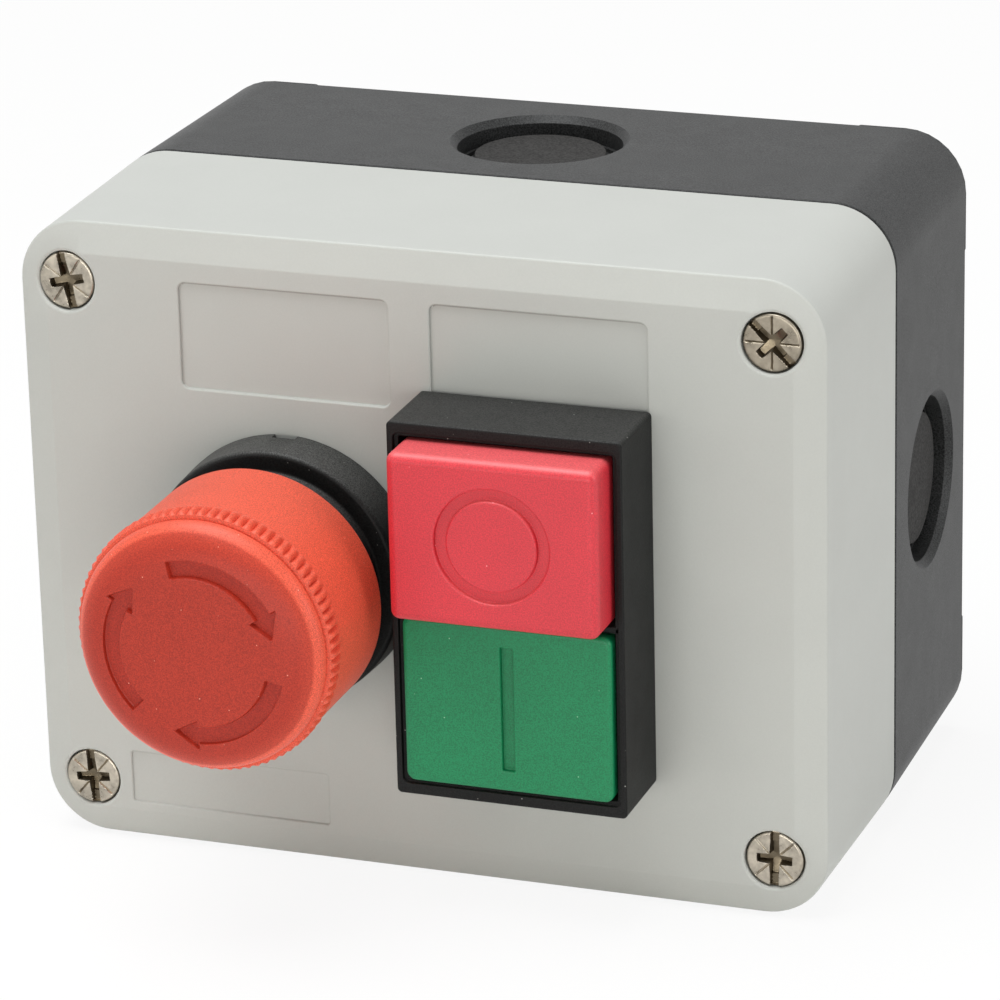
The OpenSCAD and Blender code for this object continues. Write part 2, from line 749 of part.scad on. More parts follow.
module estop_collar() color(black) {
  bore_r = estop_bore / 2;
  stem_r = stem_d / 2 + stem_gap;
  flange_r = flange_d / 2;
  rim_r = flange_r - flange_draft;
  seat_r = seal_d / 2 + barrel_gap;
  difference() {
    at(estop_x, 0, device_z) rotate_extrude() polygon([
      [bore_r, -neck_h], [neck_d / 2, -neck_h], [neck_d / 2, -flange_h],
      [rim_r - flange_c, -flange_h], [rim_r, -flange_h + flange_c],
      [flange_r, 0], [seat_r, 0], [seat_r, -seal_t], [barrel_r, -seal_t],
      [barrel_r, barrel_l], [bore_r, barrel_l], [bore_r, web_u + web_t],
      [stem_r, web_u + web_t], [stem_r, web_u], [bore_r, web_u]]);
    brick(estop_x - notch_w / 2, estop_x + notch_w / 2, -notch_l, over,
      device_z + flange_r - notch_h, device_z + flange_r + over);
  }
  at(estop_x, -lug_front, device_z)
    for (a = [0, 180]) rotate([0, 0, a - lug_angle / 2])
      rotate_extrude(angle = lug_angle)
        translate([sleeve_d / 2 - lug_in, 0]) square([bore_r - sleeve_d / 2 + lug_in + lug_root, lug_l]);
  key(estop_x);
}

// The lug on a barrel that fits the notch in the panel
module key(x) brick(x - key_w / 2, x + key_w / 2, 0, panel_t,
  device_z + barrel_r - key_root, device_z + barrel_r + key_h);

stem_top = cap_front - cap_face_t - stem_end_gap;
collar_front = sleeve_end - sleeve_end_gap;
spring_u = stem_collar_t - collar_front;

module estop_stem() color(ivory) {
  r = stem_d / 2;
  collar_r = stem_collar_d / 2;
  at(estop_x, 0, device_z) rotate_extrude() polygon([
    [0, -stem_top], [r - stem_c, -stem_top], [r, -stem_top + stem_c],
    [r, -collar_front], [collar_r, -collar_front], [collar_r, spring_u], [r, spring_u],
    [r, push_u - stem_c], [r - stem_c, push_u], [0, push_u]]);
}

module estop_stem_seal() color(rubber) at(estop_x, web_u - stem_seal_t / 2, device_z)
  rotate_extrude() translate([(stem_d + stem_seal_t) / 2 + stem_seal_gap, 0])
    circle(d = stem_seal_t, $fn = ring_fn);

module estop_return_spring() color(steel) at(estop_x, spring_u, device_z)
  coil(estop_coil_d, estop_wire, web_u - spring_u, estop_turns);

// Quarter of an ellipse from the knurled edge to the flat face
function dome(n) = [for (i = [0:n]) let (a = 90 * i / n)
  [dome_flat_d / 2 + (dome_d - dome_flat_d) / 2 * cos(a), -(cap_front - dome_h) - dome_h * sin(a)]];

function polar(r, a) = [r * cos(a), r * sin(a)];

module arrow() {
  end = arrow_start - arrow_sweep;
  polygon(concat(
    arc(arrow_out, arrow_start, end, arc_steps),
    [polar(arrow_out + arrow_wing, end),
     polar((arrow_in + arrow_out) / 2, end - arrow_tip),
     polar(arrow_in - arrow_wing, end)],
    arc(arrow_in, end, arrow_start, arc_steps)));
}

// Star outline of the knurled edge
module knurl_outline() {
  r = cap_d / 2;
  polygon([for (i = [0:2 * knurl_n - 1])
    let (a = 180 * i / knurl_n) polar(i % 2 == 0 ? r + knurl_h : r - knurl_root, a)]);
}

module estop_mushroom() color(signal_red) {
  cap_r = cap_d / 2;
  in_r = cap_r - cap_wall;
  edge = cap_front - dome_h;
  ceiling = cap_front - cap_face_t;
  bore_r = stem_d / 2 + stem_gap;
  difference() {
    union() {
      at(estop_x, 0, device_z) rotate_extrude() polygon(concat(
        [[bore_r, -boss_end], [boss_d / 2, -boss_end], [boss_d / 2, -ceiling + cap_rib],
         [in_r - cap_rib, -ceiling + cap_rib], [in_r, -ceiling + 2 * cap_rib], [in_r, -cap_back],
         [cap_r - cap_c, -cap_back], [cap_r, -cap_back - cap_c], [cap_r, -edge]],
        dome(dome_steps), [[0, -cap_front], [0, -ceiling], [bore_r, -ceiling]]));
      difference() {
        sheet(estop_x, -edge, device_z, knurl_l) knurl_outline();
        at(estop_x, -edge - over, device_z) cylinder(r = cap_r - cap_wall / 2, h = knurl_l + 2 * over);
      }
    }
    for (a = [0, 120, 240])
      sheet(estop_x, -cap_front - over, device_z, over + arrow_h) rotate([0, 0, a]) arrow();
  }
}

// Sleeve with two windows: the fixed lugs stand in them, so the head can be
// pushed by its travel and turned by its twist and no further
module estop_twist_sleeve() color(ivory) {
  // The lugs' clearance as an angle at the sleeve's outside
  slack = 360 * lug_gap / (PI * sleeve_d);
  sweep = lug_angle + estop_twist + 2 * slack;
  at(estop_x, -boss_end, device_z) difference() {
    cylinder(d = sleeve_d, h = boss_end - sleeve_end);
    translate([0, 0, -over]) cylinder(d = sleeve_in, h = boss_end - sleeve_end + 2 * over);
    for (a = [0, 180]) rotate([0, 0, a - lug_angle / 2 - estop_twist - slack])
      translate([0, 0, boss_end - lug_front - estop_travel - lug_gap])
        rotate_extrude(angle = sweep)
          translate([sleeve_d / 2 - lug_in - lug_gap, 0])
            square([lug_in + lug_gap + over, estop_travel + lug_l + 2 * lug_gap]);
  }
}

// Twin head

half_open_x = button_w / 2 + button_gap;
half_open_z = button_split / 2 + button_z + button_gap;
bar_t = button_split - 2 * button_gap;
under_lip = button_back + lip_t + lip_gap;
// Distance of a button's middle and of its spring from the head's middle
button_mid = (button_split + button_z) / 2;
coil_z = button_mid + coil_off;

module duo_frame() color(black) difference() {
  union() {
    sheet(duo_x, -frame_h, device_z, frame_h) rounded(frame_w, frame_z, frame_r);
    at(duo_x, -eps, device_z) cylinder(r = barrel_r, h = barrel_l + eps);
    key(duo_x);
  }
  difference() {
    union() {
      sheet(duo_x, -frame_h - over, device_z, frame_h + over - frame_floor)
        rounded(2 * half_open_x, 2 * half_open_z, button_r);
      sheet(duo_x, -frame_h - over, device_z, over + step_h)
        rounded(2 * half_open_x + 2 * step_w, 2 * half_open_z + 2 * step_w, button_r);
      sheet(duo_x, -under_lip, device_z, under_lip - frame_floor)
        rounded(2 * (half_open_x + lip_w), 2 * (half_open_z + lip_w), button_r);
    }
    brick(duo_x - frame_w / 2, duo_x + frame_w / 2, -frame_h + step_h, -frame_floor + over,
      device_z - bar_t / 2, device_z + bar_t / 2);
  }
  at(duo_x, -frame_floor - eps, device_z) cylinder(d = duo_bore, h = barrel_l + frame_floor + over);
  at(duo_x, -seal_t, device_z) difference() {
    cylinder(d = seal_d + 2 * barrel_gap, h = seal_t + eps);
    translate([0, 0, -over]) cylinder(r = barrel_r, h = seal_t + 2 * over);
  }
}

// Solid outside of a button: three crossing extrusions, the last two with round front edges
module button_block(front, z) {
  run = 2 * (front - button_back);
  intersection() {
    sheet(duo_x, -front, z, front - button_back) rounded(button_w, button_z, button_r);
    translate([duo_x - button_w, panel_y - button_back, z]) rotate([90, 0, 90])
      linear_extrude(2 * button_w) rounded(run, button_z, button_edge);
    translate([duo_x, panel_y - button_back, z - button_z])
      linear_extrude(2 * button_z) rounded(button_w, run, button_edge);
  }
}

// A button cap with its lip and its leg, s = 1 for the upper and -1 for the lower
module button_body(front, s) {
  mid = s * button_mid;
  difference() {
    union() {
      button_block(front, device_z + mid);
      sheet(duo_x, -button_back - lip_t, device_z + mid + s * lip_w / 2, lip_t)
        rounded(button_w + 2 * lip_w, button_z + lip_w, button_r);
    }
    sheet(duo_x, -front + button_face, device_z + mid, front)
      rounded(button_w - 2 * button_wall, button_z - 2 * button_wall, button_r / 2);
  }
  z0 = s > 0 ? leg_from : -leg_from - leg_z;
  brick(duo_x - s * leg_x - leg_w / 2, duo_x - s * leg_x + leg_w / 2, -front + button_face - eps,
    push_u, device_z + z0, device_z + z0 + leg_z);
  at(duo_x, -front + button_face - eps, device_z + s * coil_z) cylinder(d = stud_d, h = stud_l);
}

module stop_button() color(button_red) difference() {
  button_body(stop_front, 1);
  at(duo_x, -stop_front - over, device_z + button_mid) difference() {
    cylinder(d = ring_d, h = mark_h + over);
    translate([0, 0, -over]) cylinder(d = ring_d - 2 * mark_w, h = mark_h + 3 * over);
  }
}

module start_button() color(button_green) difference() {
  button_body(start_front, -1);
  brick(duo_x - mark_w / 2, duo_x + mark_w / 2, -start_front - over, -start_front + mark_h,
    device_z - button_mid - bar_l / 2, device_z - button_mid + bar_l / 2);
}

module button_spring(front, s, turns) color(steel)
  at(duo_x, -front + button_face, device_z + s * coil_z)
    coil(button_coil_d, button_wire, front - button_face - frame_floor, turns);

// Contact blocks. Each is [x of its middle, true if it closes when pushed, travel]

estop_block = [estop_x, false, estop_travel];
stop_block = [duo_x - leg_x, false, button_travel];
start_block = [duo_x + leg_x, true, button_travel];
blocks = [estop_block, stop_block, start_block];

// A box in a block's own measures: x from its middle, depth from its front, z from its middle
module inner(b, x0, x1, s0, s1, z0, z1)
  brick(b[0] + x0, b[0] + x1, block_u + s0, block_u + s1, device_z + z0, device_z + z1);

// The same box above and below the middle
module twice(b, x0, x1, s0, s1, z0, z1) {
  inner(b, x0, x1, s0, s1, z0, z1);
  inner(b, x0, x1, s0, s1, -z1, -z0);
}

half_block = block_w / 2;
inside_z = block_z / 2 - block_wall;
// Front face of the fixed strips: behind the bridge in a closing block
function strip_front(b) = b[1] ? strip_u + strip_t + 2 * rivet_h + b[2] + contact_gap : strip_u;
// Front face of the bridge: the rivets of an opening block touch at rest
function bridge_front(b) = b[1] ? strip_u : strip_u + strip_t + 2 * rivet_h;

module block_housing(b) color(ivory) difference() {
  inner(b, -half_block, half_block, 0, block_d, -block_z / 2, block_z / 2);
  difference() {
    inner(b, block_wall - half_block, half_block + over, block_wall, block_d - block_wall,
      -inside_z, inside_z);
    // Ledges that carry the fixed strips and the terminals
    twice(b, -half_block, half_block - plate_t, strip_front(b) + strip_t, terminal_u - shank_room,
      bridge_l / 2 + ledge_gap, terminal_z - clamp_z / 2);
    at(b[0], block_u + block_d - block_wall - peg_l, device_z) cylinder(d = peg_d, h = peg_l + over);
  }
  inner(b, -pad_w / 2 - pad_gap, pad_w / 2 + pad_gap, -over, block_wall + over,
    -pad_z / 2 - pad_gap, pad_z / 2 + pad_gap);
  for (s = [-1, 1]) at(b[0], block_u + block_d - block_wall - over, device_z + s * terminal_z)
    cylinder(d = terminal_head_d + driver_gap, h = block_wall + 2 * over);
  twice(b, -hook_w / 2 - hook_gap, hook_w / 2 + hook_gap, hook_l - nib_t - hook_gap, hook_l + hook_gap,
    block_z / 2 - hook_bite, block_z / 2 + over);
}

module block_plate(b) color(ivory)
  inner(b, half_block - plate_t, half_block, block_wall + snug, block_d - block_wall - snug,
    -inside_z + snug, inside_z - snug);

module block_plunger(b) color(b[1] ? button_green : signal_red) difference() {
  union() {
    inner(b, -pad_w / 2, pad_w / 2, -pad_l, block_wall, -pad_z / 2, pad_z / 2);
    inner(b, -pad_w / 2, pad_w / 2, block_wall - eps, plunger_l, -plunger_z / 2, plunger_z / 2);
  }
  inner(b, -bridge_w / 2 - bridge_gap, bridge_w / 2 + bridge_gap, bridge_front(b) - bridge_gap,
    bridge_front(b) + strip_t + bridge_gap, -pad_z, pad_z);
}

// Metal bar through the plunger's window, with a rivet at each end
module block_bridge(b) color(copper) {
  front = bridge_front(b);
  inner(b, -bridge_w / 2, bridge_w / 2, front, front + strip_t, -bridge_l / 2, bridge_l / 2);
  for (s = [-1, 1])
    at(b[0], block_u + (b[1] ? front + strip_t - eps : front - rivet_h), device_z + s * rivet_z)
      cylinder(d = rivet_d, h = rivet_h + eps);
}

module block_contacts(b) color(copper) {
  front = strip_front(b);
  half = strip_w / 2;
  end_z = inside_z - strip_gap;
  twice(b, -half, half, front, front + strip_t, rivet_z - strip_tail, end_z);
  twice(b, -half, half, front, terminal_u, end_z - strip_t, end_z);
  difference() {
    twice(b, -half, half, terminal_u - strip_t, terminal_u, terminal_z - clamp_z / 2, end_z);
    for (s = [-1, 1]) at(b[0], block_u + terminal_u - strip_t - over, device_z + s * terminal_z)
      cylinder(d = terminal_d + thread_gap, h = strip_t + 2 * over);
  }
  for (s = [-1, 1])
    at(b[0], block_u + (b[1] ? front - rivet_h : front + strip_t - eps), device_z + s * rivet_z)
      cylinder(d = rivet_d, h = rivet_h + eps);
}

module block_spring(b) color(steel) at(b[0], block_u + plunger_l, device_z)
  coil(contact_coil_d, contact_wire, block_d - block_wall - plunger_l, contact_turns);

module terminal_clamps() color(steel) for (b = blocks, s = [-1, 1])
  at(b[0], block_u + terminal_u, device_z + s * terminal_z) difference() {
    translate([-clamp_w / 2, -clamp_z / 2, 0]) cube([clamp_w, clamp_z, clamp_t]);
    translate([0, 0, -over]) cylinder(d = terminal_d + thread_gap, h = clamp_t + 2 * over);
  }

module terminal_screws() color(steel) for (b = blocks, s = [-1, 1])
  at(b[0], block_u + terminal_u + clamp_t, device_z + s * terminal_z) difference() {
    union() {
      cylinder(d = terminal_head_d, h = terminal_head_h);
      translate([0, 0, -terminal_l]) cylinder(d = terminal_d, h = terminal_l + eps);
    }
    translate([-terminal_head_d, -terminal_slot_w / 2, terminal_head_h - terminal_slot_h])
      cube([2 * terminal_head_d, terminal_slot_w, terminal_slot_h + over]);
  }

base();
cover();
cover_gasket();
cover_screws();
cover_screw_seals();
estop_collar();
panel_gasket(estop_x);  // estop_panel_gasket
ring_nut(estop_x);  // estop_ring_nut
block_holder(estop_x, [estop_x]);  // estop_block_holder
estop_stem();
estop_stem_seal();
estop_return_spring();
estop_mushroom();
estop_twist_sleeve();
duo_frame();
panel_gasket(duo_x);  // duo_panel_gasket
ring_nut(duo_x);  // duo_ring_nut
block_holder(duo_x, [duo_x - leg_x, duo_x + leg_x]);  // duo_block_holder
stop_button();
button_spring(stop_front, 1, stop_turns);  // stop_return_spring
start_button();
button_spring(start_front, -1, start_turns);  // start_return_spring
block_housing(estop_block);  // estop_block_housing
block_plate(estop_block);  // estop_block_plate
block_plunger(estop_block);  // estop_block_plunger
block_bridge(estop_block);  // estop_block_bridge
block_spring(estop_block);  // estop_block_spring
block_contacts(estop_block);  // estop_block_contacts
block_housing(stop_block);  // stop_block_housing
block_plate(stop_block);  // stop_block_plate
block_plunger(stop_block);  // stop_block_plunger
block_bridge(stop_block);  // stop_block_bridge
block_spring(stop_block);  // stop_block_spring
block_contacts(stop_block);  // stop_block_contacts
block_housing(start_block);  // start_block_housing
block_plate(start_block);  // start_block_plate
block_plunger(start_block);  // start_block_plunger
block_bridge(start_block);  // start_block_bridge
block_spring(start_block);  // start_block_spring
block_contacts(start_block);  // start_block_contacts
terminal_screws();
terminal_clamps();
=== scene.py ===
# %% [markdown]
# # Emergency stop box
#
# This lesson dresses a wall-mounted control station: a pale cover on a dark base, a red stop head
# that is pushed in and twisted out, and a twin head with a raised red stop button and a flush green
# start button. The CAD frame already holds every solid and every joint. Here each visible piece gets
# the soft edges, the fine moulded grain and the colours of the real one.
#
# All lengths are millimetres until a mesh is made. X is to the right, Y goes into the wall and Z is
# up, as in the CAD. A depth is measured from the front panel into the box.

# %% Load the frame
import math

import bmesh
import bpy
import numpy as np
from mathutils import Matrix, Vector
from mathutils.geometry import delaunay_2d_cdt


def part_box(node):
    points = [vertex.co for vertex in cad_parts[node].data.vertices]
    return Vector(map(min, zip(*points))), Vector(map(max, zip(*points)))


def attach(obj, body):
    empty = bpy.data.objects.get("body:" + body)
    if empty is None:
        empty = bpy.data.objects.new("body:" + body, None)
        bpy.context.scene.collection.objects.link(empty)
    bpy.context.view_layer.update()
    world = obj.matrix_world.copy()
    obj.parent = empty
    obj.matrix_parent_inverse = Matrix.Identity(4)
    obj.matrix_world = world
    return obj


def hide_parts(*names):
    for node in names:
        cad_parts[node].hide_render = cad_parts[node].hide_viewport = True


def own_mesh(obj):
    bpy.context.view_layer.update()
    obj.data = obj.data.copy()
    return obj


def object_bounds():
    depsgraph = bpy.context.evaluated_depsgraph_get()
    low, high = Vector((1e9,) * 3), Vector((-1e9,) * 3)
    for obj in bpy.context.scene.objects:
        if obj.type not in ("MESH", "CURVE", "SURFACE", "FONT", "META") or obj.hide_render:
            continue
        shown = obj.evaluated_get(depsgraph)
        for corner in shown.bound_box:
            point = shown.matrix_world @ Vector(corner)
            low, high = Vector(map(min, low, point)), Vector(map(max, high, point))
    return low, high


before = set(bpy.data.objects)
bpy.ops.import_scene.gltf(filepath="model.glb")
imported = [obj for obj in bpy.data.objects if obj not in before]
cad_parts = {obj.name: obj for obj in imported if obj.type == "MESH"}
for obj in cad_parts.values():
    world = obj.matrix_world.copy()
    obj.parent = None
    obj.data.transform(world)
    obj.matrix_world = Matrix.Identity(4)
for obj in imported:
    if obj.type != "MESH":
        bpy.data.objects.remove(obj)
cad_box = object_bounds()
MM = 0.001


def limits(node):
    """Lowest and highest corner of a CAD node, in millimetres."""
    low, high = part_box(node)
    return np.array(low) / MM, np.array(high) / MM


# %% [markdown]
# The driving sizes come from the frame, so the main shapes follow the CAD if it changes. The panel's
# front face is the plane from which depths are counted.

# %% Sizes taken from the frame
cover_low, cover_high = limits("cover")
base_high = limits("base")[1]
panel_y = cover_low[1]
box_width, _, box_height = cover_high - cover_low
cover_depth = cover_high[1] - panel_y
box_depth = base_high[1] - panel_y
stop_axis = sum(limits("estop_mushroom"))[[0, 2]] / 2
twin_axis = sum(limits("duo_frame"))[[0, 2]] / 2
# The four corners as signs of x and z: upper left, upper right, lower left and lower right
CORNERS = np.array([(-1, 1), (1, 1), (-1, -1), (1, -1)])
print(f"box {box_width:.1f} x {box_height:.1f} x {box_depth:.1f}, axes {stop_axis} and {twin_axis}")

# %% [markdown]
# ## Tools for moulded shapes
#
# Nearly every piece here is injection moulded: an outline that is carried along a path, with small
# radii where the path turns. Modelling it from boxes and bevels would work too, but then the bevels
# depend on the mesh. Working the surface out directly gives the radius that is asked for, everywhere.
# The first tool rounds the corners of a path. It adds a holding point just outside each arc, so that
# the flat sides beside it stay flat in the shading.

# %% A path with rounded corners
# A holding point's distance from the arcs of small details, and the least radius of a corner
SHORT_HOLD = 0.02
SMALLEST_RADIUS = 0.05


def rounded_path(corners, steps=4, hold=0.04):
    """Path through corners (a, b, radius), each turned by an arc.

    The arc touches both sides at radius * tan(turn / 2) from the corner. Its points are the centre
    plus radius * (sin t * way in - cos t * inward), with t from 0 to the turn.
    """
    corners = np.array(corners, float)
    path = [corners[0, :2]]
    for before, corner, after in zip(corners, corners[1:], corners[2:]):
        point, radius = corner[:2], corner[2]
        way_in = (point - before[:2]) / np.linalg.norm(point - before[:2])
        way_out = (after[:2] - point) / np.linalg.norm(after[:2] - point)
        turn = math.acos(np.clip(way_in @ way_out, -1, 1))
        if radius <= 0 or turn < 0.001:
            path.append(point)
            continue
        reach = radius * math.tan(turn / 2)
        inward = way_out - (way_in @ way_out) * way_in
        inward /= np.linalg.norm(inward)
        centre = point - reach * way_in + radius * inward
        t = np.linspace(0, turn, steps + 1)[:, None]
        arc = centre + radius * (np.sin(t) * way_in - np.cos(t) * inward)
        if hold:
            path.append(point - (reach + hold) * way_in)
        path.extend(arc)
        if hold:
            path.append(point + (reach + hold) * way_out)
    path.append(corners[-1, :2])
    return np.array(path)


def rounded_rectangle(width, height, radius, steps=10, along=0):
    """Outline of a rounded rectangle, anticlockwise from the right.

    Each corner is its centre plus radius * (cos, sin) of an angle that runs through a quarter turn,
    and `along` more points share out the straight side that follows it.
    """
    radius = max(radius, SMALLEST_RADIUS)
    turn = np.linspace(0, np.pi / 2, steps + 1) + np.arange(4)[:, None] * np.pi / 2
    side_x = np.array([1, -1, -1, 1])[:, None]
    side_z = np.array([1, 1, -1, -1])[:, None]
    x = side_x * (width / 2 - radius) + radius * np.cos(turn)
    z = side_z * (height / 2 - radius) + radius * np.sin(turn)
    corners = np.stack([x, z], -1)
    ends, starts = corners[:, -1:], np.roll(corners[:, :1], -1, axis=0)
    share = np.linspace(0, 1, along + 2)[None, 1:-1, None]
    return np.concatenate([corners, ends + share * (starts - ends)], 1).reshape(-1, 2)


def shrunk(width, height, radius, steps=6, along=0):
    """A shape for carry: the rounded rectangle less an inset all round."""
    return lambda inset, _: rounded_rectangle(width - 2 * inset, height - 2 * inset, radius - inset,
                                              steps, along)


def circle(radius, count=96):
    """Outline of a circle: radius times (cos, sin) of evenly spaced angles."""
    angle = np.linspace(0, 2 * np.pi, count, endpoint=False)
    return radius * np.stack([np.cos(angle), np.sin(angle)], 1)


print("a quarter bend of radius 1 has", len(rounded_path([(0, 0, 0), (5, 0, 1), (5, 5, 0)])), "points")

# %% [markdown]
# A surface is a grid of points: one ring of the outline for each point of the path. A flat face with
# holes is filled by a constrained Delaunay triangulation, which keeps the rings' own points on its
# edges, so the two meet without a gap. Points with the faces between them are a shell, and a piece is
# a list of shells.

# %% Rings, skins, lids and flat faces with holes
# Points closer than this, in millimetres, are one point to a triangulation
SAME_POINT = 1e-5


def ring_at(outline, depth, centre=(0, 0)):
    """Puts a flat outline at a depth, moved to a centre (x, z)."""
    return np.column_stack([centre[0] + outline[:, 0], np.full(len(outline), panel_y + depth),
                            centre[1] + outline[:, 1]])


def x_z(points):
    """The (x, z) of points, without their depth."""
    return points[..., [0, 2]]


def carry(shape, path, centre=(0, 0)):
    """Rings of shape(inset, depth) along a path of (inset, depth)."""
    return np.stack([ring_at(shape(inset, depth), depth, centre) for inset, depth in path])


def turned(path, centre=(0, 0), angles=None, count=96):
    """Rings of a surface of revolution: centre + radius * (cos, sin) at each (radius, depth)."""
    if angles is None:
        angles = np.linspace(0, 2 * np.pi, count, endpoint=False)
    path = np.asarray(path, float)
    x = centre[0] + path[:, :1] * np.cos(angles)
    z = centre[1] + path[:, :1] * np.sin(angles)
    return np.stack([x, np.broadcast_to(panel_y + path[:, 1:2], x.shape), z], -1)


def grid_faces(rows, columns, closed=True):
    """Quads of a grid: corner (i, j) joins (i, j + 1), (i + 1, j + 1) and (i + 1, j)."""
    i, j = np.meshgrid(np.arange(rows - 1), np.arange(columns if closed else columns - 1),
                       indexing="ij")
    k = (j + 1) % columns
    return np.stack([i * columns + j, i * columns + k, (i + 1) * columns + k,
                     (i + 1) * columns + j], -1).reshape(-1, 4)


def skin(rings, closed=True):
    """The shell through a stack of rings."""
    rows, columns = rings.shape[:2]
    return rings.reshape(-1, 3), grid_faces(rows, columns, closed).tolist()


def lid(ring):
    """One flat face inside a ring."""
    return ring, [list(range(len(ring)))]


def closed_solid(rings):
    """The shells of a solid: the skin through its rings and a lid on each end."""
    return [skin(rings), lid(rings[0]), lid(rings[-1])]


def fill(outline, holes):
    """Flat triangles between an outline and its holes, all in the plane: (points, faces)."""
    loops = [outline, *holes]
    starts = np.cumsum([0] + [len(loop) for loop in loops])
    points = [Vector(p) for p in np.concatenate(loops).tolist()]
    faces = [list(range(a, b)) for a, b in zip(starts, starts[1:])]
    inside_with_holes = 2
    found, _, triangles, *_ = delaunay_2d_cdt(points, [], faces, inside_with_holes, SAME_POINT)
    return np.array([p[:] for p in found]), [list(t) for t in triangles]


def flat_face(depth, outline, holes=()):
    """A face of the panel's kind: flat at a depth, with holes."""
    points, faces = fill(outline, holes)
    return ring_at(points, depth), faces


def distance_inside(points, outline):
    """Distance of points from an outline, positive inside.

    The distance is the least over all sides of |point - nearest point of the side|. A point is inside
    if a ray from it crosses the sides an odd number of times.
    """
    ends = np.roll(outline, -1, 0)
    side = ends - outline
    away = points[..., None, :] - outline
    share = np.clip((away * side).sum(-1) / (side ** 2).sum(-1), 0, 1)
    least = np.linalg.norm(away - share[..., None] * side, axis=-1).min(-1)
    x, z = points[..., None, 0], points[..., None, 1]
    spans = (outline[:, 1] > z) != (ends[:, 1] > z)
    rise = np.where(side[:, 1] == 0, 1, side[:, 1])
    crossing = outline[:, 0] + (z - outline[:, 1]) / rise * side[:, 0]
    inside = (spans & (x < crossing)).sum(-1) % 2 == 1
    return np.where(inside, least, -least)


def deepest_inside(points, outlines):
    """The greatest distance inside any of several outlines."""
    return np.max([distance_inside(points, outline) for outline in outlines], axis=0)


# %% [markdown]
# `make_piece` joins the shells, merges the points where they meet, turns every face outward and
# shades it smooth except across sharp edges.

# %% Making a piece
SHARP_EDGE = math.radians(38)
WELD = 0.002


def make_piece(name, shells, finish, body="box", stands_for=(), tone=None):
    """One mesh from a list of shells, in metres, carried by a CAD body.

    `tone` is a function of the points and normals that says, from 0 to 1, how far the finish's second
    colour shows at each vertex.
    """
    starts = np.cumsum([0] + [len(points) for points, _ in shells])
    points = np.concatenate([points for points, _ in shells]) * MM
    faces = [[start + corner for corner in face]
             for start, (_, shell_faces) in zip(starts, shells) for face in shell_faces]
    mesh = bpy.data.meshes.new(name)
    mesh.from_pydata(points.tolist(), [], faces)
    work = bmesh.new()
    work.from_mesh(mesh)
    bmesh.ops.remove_doubles(work, verts=work.verts, dist=WELD * MM)
    bmesh.ops.recalc_face_normals(work, faces=work.faces)
    open_edges = sum(1 for edge in work.edges if len(edge.link_faces) != 2)
    work.to_mesh(mesh)
    work.free()
    mesh.shade_smooth()
    mesh.set_sharp_from_angle(angle=SHARP_EDGE)
    mesh.materials.append(finish)
    if tone:
        places, normals = np.empty((2, len(mesh.vertices), 3), np.float32)
        mesh.vertices.foreach_get("co", places.ravel())
        mesh.vertices.foreach_get("normal", normals.ravel())
        share = np.clip(tone(places / MM, normals), 0, 1).astype(np.float32)
        mesh.attributes.new("tone", "FLOAT", "POINT").data.foreach_set("value", share)
    piece = bpy.data.objects.new(name, mesh)
    bpy.context.scene.collection.objects.link(piece)
    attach(piece, body)
    if stands_for:
        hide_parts(*stands_for)
    print(f"{name}: {len(mesh.polygons)} faces, {open_edges} open edges")
    return piece


# %% [markdown]
# ## Finishes
#
# The real surfaces are moulded plastic with a fine spark-eroded grain. Up close it is a field of tiny
# pits a few tenths of a millimetre apart, and from further away it reads as a soft, uneven sheen. A
# noise bump gives the pits, a slower noise varies the roughness, and a third one shifts the colour a
# little, as flow and handling do. Cells of a Voronoi pattern, with only a few of them kept, give the
# loose specks of dust that show on the base, the heads and the buttons.

# %% Plastic with a moulded grain
# Features a metre of the colour's clouds, of the sheen's patches and of the dust's cells
CLOUD_SCALE, SHEEN_SCALE, DUST_SCALE = 90, 260, 1050
# The values between which noise mostly lies, taken wide and narrow
WIDE, NARROW = (0.3, 0.7), (0.35, 0.65)
# The share by which roughness drifts, and the distances between which a speck fades, in cells
SHEEN_DRIFT = 0.04
SPECK_CORE, SPECK_EDGE = 0.05, 0.11


def feed(tree, socket, value):
    """Links a socket to the output that gives its value, or sets it to a constant."""
    if isinstance(value, bpy.types.NodeSocket):
        tree.links.new(value, socket)
    else:
        socket.default_value = value


def node(tree, kind, **values):
    """Adds a node. Each value goes to the socket of its name, or else to the property."""
    made = tree.nodes.new(kind)
    for key, value in values.items():
        if key in made.inputs:
            feed(tree, made.inputs[key], value)
        else:
            setattr(made, key, value)
    return made


def shade(colour, factor):
    """The colour times a factor, with alpha 1."""
    return tuple(min(1, c * factor) for c in colour) + (1,)


def ramp(tree, source, low, high, colours):
    """A colour ramp between two positions of a source value."""
    made = node(tree, "ShaderNodeValToRGB", Fac=source)
    for stop, place, colour in zip(made.color_ramp.elements, (low, high), colours):
        stop.position = place
        stop.color = colour
    return made.outputs["Color"]


def spread(tree, source, low, high, to_low, to_high):
    """Maps a value from one range to another, and no further than its ends."""
    made = node(tree, "ShaderNodeMapRange", **{"Value": source, "From Min": low, "From Max": high,
                                               "To Min": to_low, "To Max": to_high})
    return made.outputs["Result"]


def noise(tree, place, scale, detail=2.0, roughness=0.5):
    """Noise whose features are 1 / scale of a metre apart."""
    made = node(tree, "ShaderNodeTexNoise", Vector=place, Scale=scale, Detail=detail,
                Roughness=roughness)
    return made.outputs["Fac"]


def maths(tree, operation, *values):
    """An operation on two values, each of them a constant or an output."""
    made = node(tree, "ShaderNodeMath", operation=operation)
    for socket, value in zip(made.inputs, values):
        feed(tree, socket, value)
    return made.outputs[0]


